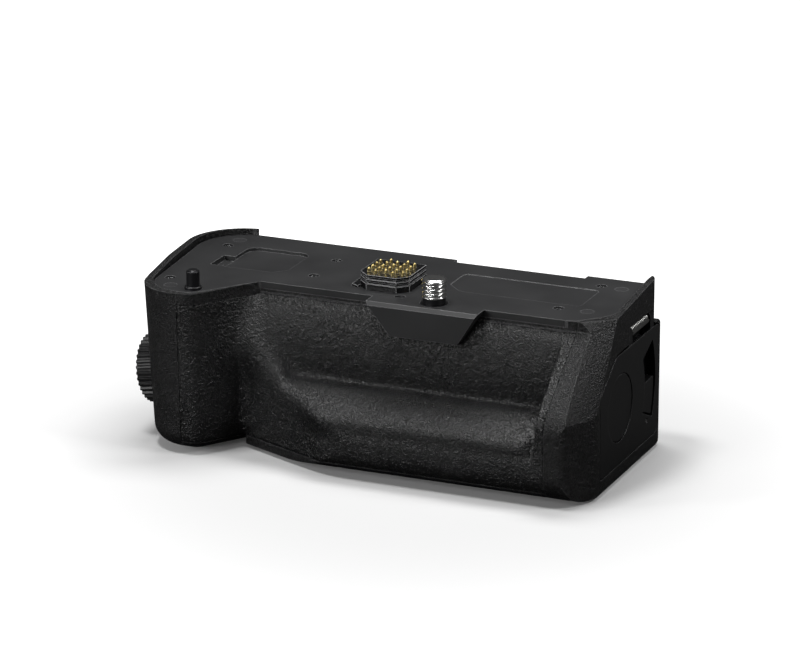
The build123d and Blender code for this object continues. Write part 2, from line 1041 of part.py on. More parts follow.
def control_pod():
    """The left end of the case, which carries the dials and buttons."""
    end = block(
        -left_reach - overrun, -left_seam, -front_bulge - overrun, rear_bulge + overrun, -case_height, overrun
    )
    body = front_and_rear_case & end
    room = inside - dial_cheeks() - dial_boss()
    return (body - room - cuts) + (left_rim_band() & end)


def door_frame():
    """The right end of the case, round the mouth of the battery bay."""
    body = front_and_rear_case & door_end_region(0)
    return (body - inside - cuts) + right_rim_band()


def camera_plate():
    """The smooth plate under the camera, with the tab below the lens mount."""
    plate = slab_z(deck_plan(rim_width, rim_gap), deck_low, 0)
    tab = tab_solid(0)
    lip = tab.edges().filter_by(Axis.X).group_by(Axis.Z)[-1].sort_by(Axis.Y)[0]
    plate += chamfer(lip, tab_bevel)
    plate -= rod(0, 0, screw_collar + running, -plate_thickness - overrun, overrun)
    plate -= rod(0, 0, tab_bore, -tab_drop - overrun, -collar_top - running)
    plate -= block_body(seam_gap, overrun)
    plate -= slab_z(wing_plan(seam_gap), -wing_sink, overrun)
    plate -= slab_z(store_plan(), -store_deep, overrun)
    plate -= block(-slot_left, -store_left, slot_front, slot_rear, -slot_deep, overrun)
    plate -= slab_z(label_plan(), -label_deep, overrun)
    plate -= rod(-guide_x, -guide_y, guide_radius, -overrun, overrun)
    plate -= rod(-guide_x, -guide_y, guide_flange, -label_deep, overrun)
    for x, y in plate_screw_places:
        plate -= rod(x, y, plate_screw_radius, -plate_screw_sink - plate_screw_tall, overrun)
    for x, y in pad_places:
        plate -= rod(x, y, pad_radius, -pad_deep, overrun)
    return plate


def block_body(gap, rise):
    """The terminal block's body, down to its foot."""
    left = -block_left - gap
    right = -block_right + gap
    front = block_front - gap
    back = block_rear + gap
    return slab_z(
        make_face(
            Polyline(
                (left, front + block_corner),
                (left + block_corner, front),
                (right - block_corner, front),
                (right, front + block_corner),
                (right, back),
                (left, back),
                close=True,
            )
        ),
        -block_sink,
        rise,
    )


def store_plan():
    """Outline of the recess that keeps the camera's rubber terminal cap."""
    return corner_face(
        [
            (-store_left, store_front),
            (-store_left, store_rear),
            (-store_right, store_rear),
            (-store_right, store_front + store_cut),
            (-store_right - store_cut, store_front),
        ],
        [label_round, store_cut, store_cut, label_round, label_round],
    )


def label_plan():
    """Outline of the shallow bare field at the right of the plate."""
    return corner_face(
        [
            (-label_left + label_slant, label_front),
            (-label_left, label_front + label_slant),
            (-label_left, label_rear),
            (label_right, label_rear),
            (label_right, label_front),
        ],
        [label_round, label_round, label_round, label_round, label_round],
    )


def base_cover():
    """The bottom cover with its screw seats and the opening for the tripod socket."""
    cover = slab_z(base_plan(seam_gap), -case_height, base_thickness - case_height)
    cover -= rod(0, socket_y, socket_flange + running, -case_height - overrun, 0)
    for x, y in base_screw_places:
        cover -= rod(x, y, base_screw_radius, -case_height - overrun, 0)
    return cover


# Battery bay


def battery_bay():
    """A five-sided box, open at the door, which guides the battery."""
    back = -bay_long + bay_mouth
    box = bay_block(bay_wall, back - bay_wall, bay_mouth) - bay_block(0, back, bay_mouth + overrun)
    for row in range(contact_count):
        y = contact_first + row * contact_pitch
        box -= block(
            back - bay_wall - overrun, back, y - contact_wide / 2 - seam_gap, y + contact_wide / 2 + seam_gap,
            contact_low - seam_gap, contact_low + contact_tall + seam_gap,
        )
    return box - catch_room()


def battery_contacts():
    """Four sprung blades at the back of the bay."""
    back = -bay_long + bay_mouth
    blades = []
    for row in range(contact_count):
        y = contact_first + row * contact_pitch
        blade = block(
            back - bay_wall - contact_thick, back + contact_reach, y - contact_wide / 2, y + contact_wide / 2,
            contact_low, contact_low + contact_tall,
        )
        bow = rod_y(back + contact_reach, contact_low, contact_reach, y - contact_wide, y + contact_wide)
        blades.append(blade - bow)
    return Compound(blades)


def battery_catch():
    """The sliding tongue that keeps the battery in when the door is open."""
    left = bay_mouth - catch_long + catch_gap
    right = bay_mouth - catch_gap
    front = catch_y - catch_wide / 2
    back = catch_y + catch_wide / 2
    tongue = block(left, right, front, back, -bay_top, -bay_top + catch_thick)
    return tongue + block(right - catch_thick, right, front, back, -bay_top - catch_travel, -bay_top + catch_thick)


def door_seal():
    """A soft gasket on the seat of the door, round the mouth of the bay."""
    outer = corner_face(
        [
            (-bay_front - seal_wide, -bay_low - seal_wide),
            (-bay_front - seal_wide, -bay_top + seal_wide),
            (bay_rear + seal_wide, -bay_top + seal_wide),
            (bay_rear + seal_wide, -bay_low - seal_wide),
        ],
        [seal_wide] * 4,
    )
    return slab_x(outer, bay_mouth, bay_mouth + seal_thick) - bay_block(0, 0, right_reach)


# Battery door


def sector(inner, outer, low, high, left, right):
    """A ring sector about the lever's axis, between two angles in degrees."""
    middle = (low + high) / 2

    def place(radius, angle):
        turn = math.radians(angle)
        return (lever_y + radius * math.cos(turn), -lever_drop + radius * math.sin(turn))

    edge = Line(place(inner, low), place(outer, low))
    edge += ThreePointArc(place(outer, low), place(outer, middle), place(outer, high))
    edge += Line(place(outer, high), place(inner, high))
    edge += ThreePointArc(place(inner, high), place(inner, middle), place(inner, low))
    return slab_x(make_face(edge), left, right)


def door_knuckles():
    """The two hinge eyes on the door's upper edge."""
    eyes = []
    for front, back in (
        (hinge_front + hinge_side_gap, hinge_front + hinge_side_gap + knuckle),
        (hinge_back - hinge_side_gap - knuckle, hinge_back - hinge_side_gap),
    ):
        eye = rod_y(hinge_x, -hinge_drop, hinge_radius, front, back)
        eye += block(hinge_x, hinge_x + hinge_radius, front, back, -door_top - wall, -hinge_drop)
        eyes.append(eye)
    return eyes


def door_shell():
    """The door: an outer skin with a rim, the latch opening and the hinge eyes."""
    skin_back = right_reach - door_skin
    shell = slab_x(door_outline(0), door_back, right_reach)
    shell -= slab_x(door_outline(-door_rim), door_back - overrun, skin_back)
    shell -= block(door_back - overrun, skin_back, -overrun * 2, rear_bulge, -door_top - wall, 0)
    for eye in door_knuckles():
        shell += eye
    shell -= rod_y(hinge_x, -hinge_drop, hinge_pin_radius + hinge_play, 0, rear_bulge)
    shell -= rod_x(lever_y, -lever_drop, lever_disc + lever_gap, skin_back - overrun / 2, right_reach + overrun)
    shell -= sector(
        lever_tab_inner - lever_gap,
        lever_tab_outer + lever_gap * 4,
        -tab_low_angle - lever_slack,
        tab_high_angle + lever_throw + lever_slack,
        skin_back - overrun / 2,
        right_reach + overrun,
    )
    shell -= stop_pin_bore()
    return (shell & front_and_rear_case) - swing_wedge()


def swing_wedge():
    """What the door's upper edge loses inside, so that it swings clear of the lip above it."""
    back = right_reach - door_skin
    tip = (back + swing_bevel, -door_top)
    wedge = make_face(Polyline((back, -door_top), tip, (back, -door_top - swing_bevel), close=True))
    ends = slab_y(wedge, door_slope_y, hinge_front + hinge_side_gap)
    ends += slab_y(wedge, hinge_front + hinge_side_gap + knuckle, hinge_back - hinge_side_gap - knuckle)
    return ends + slab_y(wedge, hinge_back - hinge_side_gap, rear_bulge)


def stop_pin_bore():
    """The hole of the small steel pin beside the latch opening."""
    y = lever_y + lever_tab_inner + stop_out
    return rod_x(y, -lever_drop - stop_drop, stop_radius, door_back, right_reach + overrun)


def door_stop_pin():
    """A small steel pin that shows at the foot of the latch opening."""
    y = lever_y + lever_tab_inner + stop_out
    return rod_x(y, -lever_drop - stop_drop, stop_radius, right_reach - door_skin, right_reach - lever_recess)


def door_inner_plate():
    """The thin plate inside the door, which bears the latch lever."""
    plate = slab_x(door_outline(-door_rim - seam_gap), door_back, door_back + inner_plate_thick)
    plate &= block(door_back, right_reach, -rear_bulge, rear_bulge, -case_height, -door_top - wall - seam_gap)
    return plate - rod_x(lever_y, -lever_drop, lever_post + running, 0, right_reach)


def latch_lever():
    """The turning lever: a flush disc, an arm behind the skin and a thumb tab."""
    arm_right = right_reach - door_skin - lever_gap
    arm_left = arm_right - lever_arm_depth
    lever = rod_x(lever_y, -lever_drop, lever_disc, arm_left, right_reach - lever_recess)
    lever += rod_x(lever_y, -lever_drop, lever_disc + lever_gap * 3, arm_left, arm_right)
    lever += sector(lever_post, lever_tab_outer, -tab_low_angle, tab_high_angle, arm_left, arm_right)
    lever += sector(
        lever_tab_inner, lever_tab_outer, -tab_low_angle, tab_high_angle, arm_left, right_reach - lever_recess
    )
    return lever + rod_x(lever_y, -lever_drop, lever_post, door_back + lever_recess, arm_left)


def hinge_pin():
    """The steel pin on which the door turns."""
    return rod_y(
        hinge_x, -hinge_drop, hinge_pin_radius - pin_play, hinge_front - knuckle / 2, hinge_back + knuckle / 2
    )


def hinge_spring():
    """The torsion spring on the hinge pin, one unbroken coil."""
    start = hinge_front + hinge_side_gap * 2 + knuckle + spring_wire / 2
    end = hinge_back - hinge_side_gap * 2 - knuckle - spring_wire / 2
    radius = hinge_radius - spring_wire / 2
    climb = (end - start) / spring_turns

    def place(turn):
        angle = math.tau * turn
        return (hinge_x + radius * math.cos(angle), start + climb * turn, -hinge_drop + radius * math.sin(angle))

    def arc(part):
        first = part / spring_arcs
        last = (part + 1) / spring_arcs
        return ThreePointArc(place(first), place((first + last) / 2), place(last))

    path = arc(0)
    for part in range(1, spring_turns * spring_arcs):
        path += arc(part)
    samples = [place(step / spring_samples) for step in range(spring_turns * spring_samples)]
    near = spring_samples // 2
    apart = min(
        math.dist(samples[one], samples[two])
        for one in range(len(samples))
        for two in range(one + near, min(one + near + spring_samples, len(samples)))
    )
    print("hinge spring, least gap between turns", round(apart - spring_wire, 3))
    ring = Plane(origin=place(0), z_dir=path.edges()[0] % 0) * RegularPolygon(spring_wire / 2, spring_sides)
    return sweep(ring, path=path)


# Camera screw drive


def gear(teeth, x, y, phase, low, high, bore):
    """A spur gear with plain tapered teeth, the first at the phase angle."""
    pitch = gear_module * teeth / 2
    tip = pitch + gear_module * tooth_tip
    root = pitch - gear_module * tooth_root
    step = 360 / teeth
    points = []
    for tooth in range(teeth):
        for radius, share in (
            (root, -root_half_share),
            (tip, -tip_half_share),
            (tip, tip_half_share),
            (root, root_half_share),
        ):
            angle = math.radians(phase + (tooth + share) * step)
            points.append((x + radius * math.cos(angle), y + radius * math.sin(angle)))
    solid = slab_z(make_face(Polyline(*points, close=True)), low, high)
    if bore:
        solid -= rod(x, y, bore, low - overrun, high + overrun)
    return solid


def camera_screw():
    """The screw that holds the camera, with its neck, pinion and lower journal."""
    screw = rod(0, 0, screw_radius, neck_top, screw_rise)
    tip = screw.edges().sort_by(Axis.Z)[-1]
    screw = chamfer(tip, screw_chamfer)
    screw += rod(0, 0, screw_neck, screw_low, neck_top)
    screw += gear(pinion_teeth, 0, 0, drive_angle, screw_low, -gear_drop, 0)
    return screw + rod(0, 0, journal_radius, screw_low - journal_tall, screw_low)


def screw_collar_ring():
    """The dark collar in the plate that guides the screw."""
    ring = rod(0, 0, screw_collar, collar_top - collar_tall, 0)
    ring += rod(0, 0, tab_bore - running, collar_top - collar_tall, -collar_top - running * 2)
    return ring - rod(0, 0, screw_neck + running, -overrun, overrun)


def gear_frame():
    """The metal strip under the gears, with the axles of the idler and the wheel."""
    top = screw_low - running * 2
    low = top - frame_thick
    strip = block(0, drive_length + frame_half, -frame_half, frame_half, low, top)
    strip += rod(0, 0, journal_radius + bush_wall, low, top)
    strip = Rot(0, 0, drive_angle) * strip
    strip -= rod(0, 0, journal_radius + running, low - overrun, top + overrun)
    for x, y in ((idler_x, idler_y), (wheel_x, wheel_y)):
        strip += rod(x, y, axle_head, -bay_top + bay_wall, low)
    strip += rod(idler_x, idler_y, axle_radius, top, -gear_drop + axle_head_tall)
    return strip + rod(wheel_x, wheel_y, axle_radius, top, wheel_top - head_seat)


def idler_gear():
    """The gear between the screw's pinion and the thumb wheel."""
    return gear(idler_teeth, idler_x, idler_y, drive_angle, screw_low, -gear_drop, axle_radius + running)


def thumb_wheel():
    """The ribbed wheel at the rear and the gear under it."""
    rim = ribbed_disc(wheel_radius, wheel_rib, wheel_ribs, wheel_thick)
    wheel = Pos(wheel_x, wheel_y, wheel_low) * rim
    phase = drive_angle + 180 + 180 / wheel_teeth
    wheel += gear(wheel_teeth, wheel_x, wheel_y, phase, screw_low, wheel_low, 0)
    wheel -= rod(wheel_x, wheel_y, axle_head + head_seat, wheel_top - clip_seat, overrun)
    return wheel - rod(wheel_x, wheel_y, axle_radius + running, -case_height, overrun)


def axle_clips():
    """The two clips that keep the idler and the wheel on their axles."""
    clips = []
    for x, y, seat in ((idler_x, idler_y, -gear_drop), (wheel_x, wheel_y, wheel_top - clip_seat)):
        low = seat + running
        clip = rod(x, y, axle_head, low, low + axle_head_tall - running)
        clips.append(clip - rod(x, y, axle_radius, -case_height, overrun))
    return Compound(clips)


# Terminal block, pins and guide pin


def pin_places():
    """Centres of the contact pins: columns of four and five, half a step apart."""
    places = []
    for column, count in enumerate(pin_columns_share):
        x = -pin_first_x + column * pin_pitch_x
        for row in range(count):
            places.append((x, pin_middle_y + (row - (count - 1) / 2) * pin_pitch_y))
    return places


def wing_plan(gap):
    """Plan of the low wing at the left of the terminal block."""
    outline = Polyline(
        (-block_left - wing - gap, block_front + wing - gap),
        (-block_left, block_front + block_step - gap),
        (-block_left, block_rear + gap),
        (-block_left - wing - gap, block_rear - wing + gap),
        close=True,
    )
    return make_face(outline)


def terminal_block():
    """The raised block of the contact pins, stepped on its sides."""
    body = block_body(0, block_rise)
    for step in range(block_steps):
        low = block_rise - (step + 1) * block_step_tall
        waste = block_body(overrun, low + block_step_tall / 2) & block(
            -left_reach, right_reach, -front_bulge, rear_bulge, low, low + block_step_tall / 2
        )
        body -= waste - block_body(-block_step / 2, block_rise)
    body += slab_z(wing_plan(0), -wing_sink, wing_rise)
    hole = slab_z(RegularPolygon(pin_radius + running, pin_sides), -block_sink - overrun, block_rise + overrun)
    for x, y in pin_places():
        body -= Pos(x, y, 0) * hole
    return body


def contact_pins():
    """The blunt-tipped spring pins of the terminal block."""
    low = board_top + pin_travel + seam_gap
    pin = slab_z(RegularPolygon(pin_radius, pin_sides), low, block_rise + pin_rise)
    pin = chamfer(pin.edges().group_by(Axis.Z)[-1], pin_tip)
    return Compound([Pos(x, y, 0) * pin for x, y in pin_places()])


def guide_pin():
    """The locating pin on the finger lobe."""
    pin = rod(-guide_x, -guide_y, guide_radius - fit_gap / 3, -guide_sink, guide_rise)
    pin = chamfer(pin.edges().sort_by(Axis.Z)[-1], guide_chamfer)
    return pin + rod(-guide_x, -guide_y, guide_flange - running, -label_deep, guide_flange_rise)


def plate_screws():
    """The screws that hold the camera plate."""
    screws = []
    for x, y in plate_screw_places:
        top = -plate_screw_sink
        screws.append(rod(x, y, plate_screw_radius - running, top - plate_screw_tall, top))
    return Compound(screws)


def plate_pads():
    """Four flush round pads beside the corner screws."""
    pads = [rod(x, y, pad_radius - running, -pad_deep, 0) for x, y in pad_places]
    return Compound(pads)


def base_screws():
    """The screws of the base cover."""
    screws = []
    low = -case_height + base_screw_sink
    for x, y in base_screw_places:
        screw = rod(x, y, base_screw_radius - running, low, low + base_thickness - base_screw_sink)
        screws.append(screw + rod(x, y, base_screw_radius / 2, low, low + base_screw_tall))
    return Compound(screws)


def tripod_socket():
    """The threaded insert in the base for a tripod, with a round flange."""
    low = -case_height
    socket = rod(0, socket_y, socket_flange, low, low + socket_flange_thick)
    socket += rod(0, socket_y, socket_radius + socket_wall, low, low + socket_deep)
    return socket - rod(0, socket_y, socket_radius, low - overrun, low + socket_deep - socket_flange_thick)


def feet():
    """Four small round feet under the base cover."""
    places = (
        (foot_right, -foot_front),
        (foot_right, foot_rear),
        (-foot_left, foot_left_front),
        (-foot_left + foot_radius, foot_rear - wall * 3),
    )
    low = -case_height - foot_tall
    return Compound([rod(x, y, foot_radius, low, -case_height) for x, y in places])


# Controls


def ribbed_disc(radius, depth, count, tall):
    """A disc with fine ribs round its rim, lying on the plane of its axis."""
    points = []
    for rib in range(count):
        for reach, share in zip((radius - depth, radius, radius, radius - depth), rib_shares):
            angle = math.tau * (rib + share) / count
            points.append((reach * math.cos(angle), reach * math.sin(angle)))
    return slab_z(make_face(Polyline(*points, close=True)), 0, tall)


def front_dial():
    """The ribbed ring round the shutter button."""
    ring = ribbed_disc(dial_radius, dial_rib, dial_ribs, dial_tall)
    ring -= Cylinder(dial_bore, dial_tall * 4)
    return dial_place() * ring


def dial_post():
    """The fixed sleeve inside the dial, which guides the shutter button."""
    tall = dial_floor - post_sink
    sleeve = Pos(0, 0, post_sink + tall / 2) * Cylinder(post_radius, tall)
    deep = button_tall - button_rise + button_travel + fit_gap * 2
    sleeve -= Cylinder(button_radius + fit_gap, deep * 2)
    sleeve -= Cylinder(button_stem + fit_gap, dial_floor * 4)
    return dial_place() * sleeve


def shutter_button():
    """The shutter release: a shallow cap on a stem."""
    cap = Pos(0, 0, button_tall / 2 - button_rise) * Cylinder(button_radius, button_tall)
    cap = chamfer(cap.edges().sort_by(Axis.Z)[0], button_rise)
    stem_middle = button_tall - button_rise + button_stem_tall / 2
    stem = Pos(0, 0, stem_middle) * Cylinder(button_stem, button_stem_tall)
    return dial_place() * (cap + stem)


def rear_dial():
    """The ribbed rear dial, which shows through the thumb bulge."""
    disc = ribbed_disc(rear_dial_radius, rear_dial_rib, rear_dial_ribs, rear_dial_thick)
    disc -= Cylinder(rear_dial_axle + running, rear_dial_thick * 4)
    return Pos(-rear_dial_left, rear_dial_y, -rear_dial_drop) * Rot(0, 90, 0) * disc


def rear_dial_axle_rod():
    """The steel rod on which the rear dial turns."""
    return rod_x(rear_dial_y, -rear_dial_drop, rear_dial_axle, -rear_dial_left - slot_gap - wall, -left_seam)


def side_face(z):
    """Where the left end face lies at a height, above the side buttons."""
    lean = (left_reach - lobe_low_left) / case_height
    return -left_reach - z * lean


def side_button(row):
    """One of the three buttons in the left end face."""
    z = -side_button_top - row * side_button_pitch
    face = side_face(z) - side_button_rise
    button = rod_x(side_button_y, z, side_button_radius, face, face + side_button_tall)
    return chamfer(button.edges().sort_by(Axis.X)[0], button_edge)


def lock_button():
    """The exposure lock button at the rear."""
    back = rear_bulge + lock_button_rise
    button = rod_y(-lock_button_x, -lock_button_drop, lock_button_radius, back - lock_button_tall, back)
    return chamfer(button.edges().sort_by(Axis.Y)[-1], button_edge)


def stick_bezel_ring():
    """The round surround of the focus stick."""
    back = rear_bulge + stick_bezel_rise
    ring = rod_y(-stick_x, -stick_drop, stick_bezel - fit_gap * 2, rear_bulge - stick_tall, back)
    ring -= rod_y(-stick_x, -stick_drop, stick_radius + stick_play, rear_bulge - stick_tall + wall, rear_bulge * 2)
    return ring


def stick_ring():
    """The inner ring that tilts the focus stick up and down."""
    foot = rear_bulge - stick_tall + wall + stick_play
    ring = rod_y(-stick_x, -stick_drop, stick_radius - stick_play / 2, foot, foot + stick_ring_tall)
    return ring - rod_y(-stick_x, -stick_drop, stick_stem + stick_play, 0, rear_bulge * 2)


def stick_stem_rod():
    """The stem of the focus stick, inside the inner ring."""
    foot = rear_bulge - stick_tall + wall + stick_play
    return rod_y(-stick_x, -stick_drop, stick_stem, foot, rear_bulge + stick_rise - stick_cap)


def focus_stick():
    """The bevelled cap of the focus stick."""
    back = rear_bulge + stick_rise
    cap = rod_y(-stick_x, -stick_drop, stick_radius, back - stick_cap, back)
    return chamfer(cap.edges().sort_by(Axis.Y)[-1], stick_cap / 2)


def control_switch():
    """The small lever that turns the grip's controls on and off."""
    back = rear_bulge + switch_rise
    disc = rod_y(-stick_x, -switch_drop, switch_radius, rear_bulge - switch_tall, back)
    tab = block(
        -stick_x - switch_tab_half, -stick_x + switch_tab_half, back - switch_rise / 2, back,
        -switch_drop, -switch_drop + switch_radius + switch_tab,
    )
    return disc + tab


def circuit_board():
    """The main board under the terminal block."""
    return block(-board_left, -board_right, board_front, board_rear, board_top - board_thick, board_top)


# Write one file for each piece

pieces = {
    "front_shell": front_shell(),
    "rear_shell": rear_shell(),
    "control_pod": control_pod(),
    "door_frame": door_frame(),
    "camera_plate": camera_plate(),
    "base_cover": base_cover(),
    "front_grip_rubber": front_skin,
    "rear_grip_rubber": rear_skin,
    "battery_bay": battery_bay(),
    "battery_contacts": battery_contacts(),
    "battery_catch": battery_catch(),
    "door_seal": door_seal(),
    "battery_door": door_shell(),
    "door_inner_plate": door_inner_plate(),
    "door_stop_pin": door_stop_pin(),
    "latch_lever": latch_lever(),
    "hinge_pin": hinge_pin(),
    "hinge_spring": hinge_spring(),
    "camera_screw": camera_screw(),
    "screw_collar": screw_collar_ring(),
    "gear_frame": gear_frame(),
    "idler_gear": idler_gear(),
    "thumb_wheel": thumb_wheel(),
    "axle_clips": axle_clips(),
    "terminal_block": terminal_block(),
    "contact_pins": contact_pins(),
    "guide_pin": guide_pin(),
    "plate_screws": plate_screws(),
    "plate_pads": plate_pads(),
    "base_screws": base_screws(),
    "tripod_socket": tripod_socket(),
    "rubber_feet": feet(),
    "front_dial": front_dial(),
    "dial_post": dial_post(),
    "shutter_button": shutter_button(),
    "rear_dial": rear_dial(),
    "rear_dial_axle": rear_dial_axle_rod(),
    "side_button_1": side_button(0),
    "side_button_2": side_button(1),
    "side_button_3": side_button(2),
    "exposure_lock_button": lock_button(),
    "stick_bezel": stick_bezel_ring(),
    "stick_ring": stick_ring(),
    "focus_stick": focus_stick(),
    "stick_stem": stick_stem_rod(),
    "control_switch": control_switch(),
    "circuit_board": circuit_board(),
}
for name, piece in pieces.items():
    export_step(piece, f"parts/{name}.step")
    print(name, len(piece.solids()), round(piece.volume, 1))
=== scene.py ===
"""The looks of a vertical camera battery grip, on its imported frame.

Blender works in metres. Sizes named here are in millimetres where the text says so, and MM turns
them into metres.
"""
import json
import math

import bmesh
import bpy
import numpy as np
from mathutils import Matrix, Vector
from mathutils.bvhtree import BVHTree

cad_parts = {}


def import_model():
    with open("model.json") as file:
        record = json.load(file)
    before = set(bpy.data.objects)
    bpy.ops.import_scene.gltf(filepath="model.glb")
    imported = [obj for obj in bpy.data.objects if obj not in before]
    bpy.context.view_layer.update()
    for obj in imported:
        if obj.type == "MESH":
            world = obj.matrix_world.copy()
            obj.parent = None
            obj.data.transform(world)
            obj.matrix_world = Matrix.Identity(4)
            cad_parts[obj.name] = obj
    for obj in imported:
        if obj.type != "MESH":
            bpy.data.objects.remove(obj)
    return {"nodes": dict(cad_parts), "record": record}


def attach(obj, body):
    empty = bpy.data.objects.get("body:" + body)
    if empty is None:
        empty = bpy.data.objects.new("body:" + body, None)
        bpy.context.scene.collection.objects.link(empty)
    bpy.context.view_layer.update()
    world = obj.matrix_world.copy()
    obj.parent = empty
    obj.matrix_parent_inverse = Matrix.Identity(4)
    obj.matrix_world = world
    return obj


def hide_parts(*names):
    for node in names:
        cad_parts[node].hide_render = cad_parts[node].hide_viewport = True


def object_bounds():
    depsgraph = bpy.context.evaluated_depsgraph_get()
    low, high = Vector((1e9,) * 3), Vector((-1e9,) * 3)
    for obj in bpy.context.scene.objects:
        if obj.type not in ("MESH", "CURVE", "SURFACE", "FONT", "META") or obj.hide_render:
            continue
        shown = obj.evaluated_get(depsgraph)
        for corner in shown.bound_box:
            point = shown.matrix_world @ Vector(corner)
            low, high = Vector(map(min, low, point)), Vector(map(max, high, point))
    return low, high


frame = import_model()
CAD_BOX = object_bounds()
NODES = frame["nodes"]
BODY = {}
for body_name, members in frame["record"]["behaviour"]["bodies"].items():
    for member in members:
        BODY[member] = body_name
AXES = {joint["name"]: joint.get("pos_m") for joint in frame["record"]["behaviour"]["joints"]}

MM = 0.001
# Corners of solids that lie closer than this are one corner
WELD = 0.002

# The floor: how pale the camera sees it, how pale the part sees it, and its glow beside the part
WHITE = 0.63
FLOOR_BOUNCE = 0.04
GLOW_NEAR = 0.02
GLOW_START = 0.06
GLOW_FULL = 0.24

# Shared by every surface: the slow drift of colour and the part of it that the grain adds
DRIFT_SCALE = 55
GRAIN_SHARE = 0.35
TONE_DARK = 0.35
TONE_LIGHT = 0.95
# The drift at which roughness starts to rise, and how far it goes below and above its middle
POLISH_START = 0.4
SMOOTHER = 0.07
ROUGHER = 0.09
LEAST_ROUGH = 0.03
COAT_ROUGH = 0.12
# How far a rounded edge has turned, as a cosine, where the painted edge highlight starts and where it is
# full
HIGHLIGHT_FROM = 0.995
HIGHLIGHT_FULL = 0.9
# Pebbles: how much and how coarsely their pattern is bent, their softness, and their gloss
BEND = 0.0025
BEND_SCALE = 0.8
PEBBLE_SOFT = 0.45
PEBBLE_MIDDLE = 0.1
PEBBLE_RIM = 0.75
MIDDLE_GLOSS = -0.03
RIM_GLOSS = 0.07


# Materials


def link_all(tree, pairs):
    """Join pairs of sockets."""
    for a, b in pairs:
        tree.links.new(a, b)


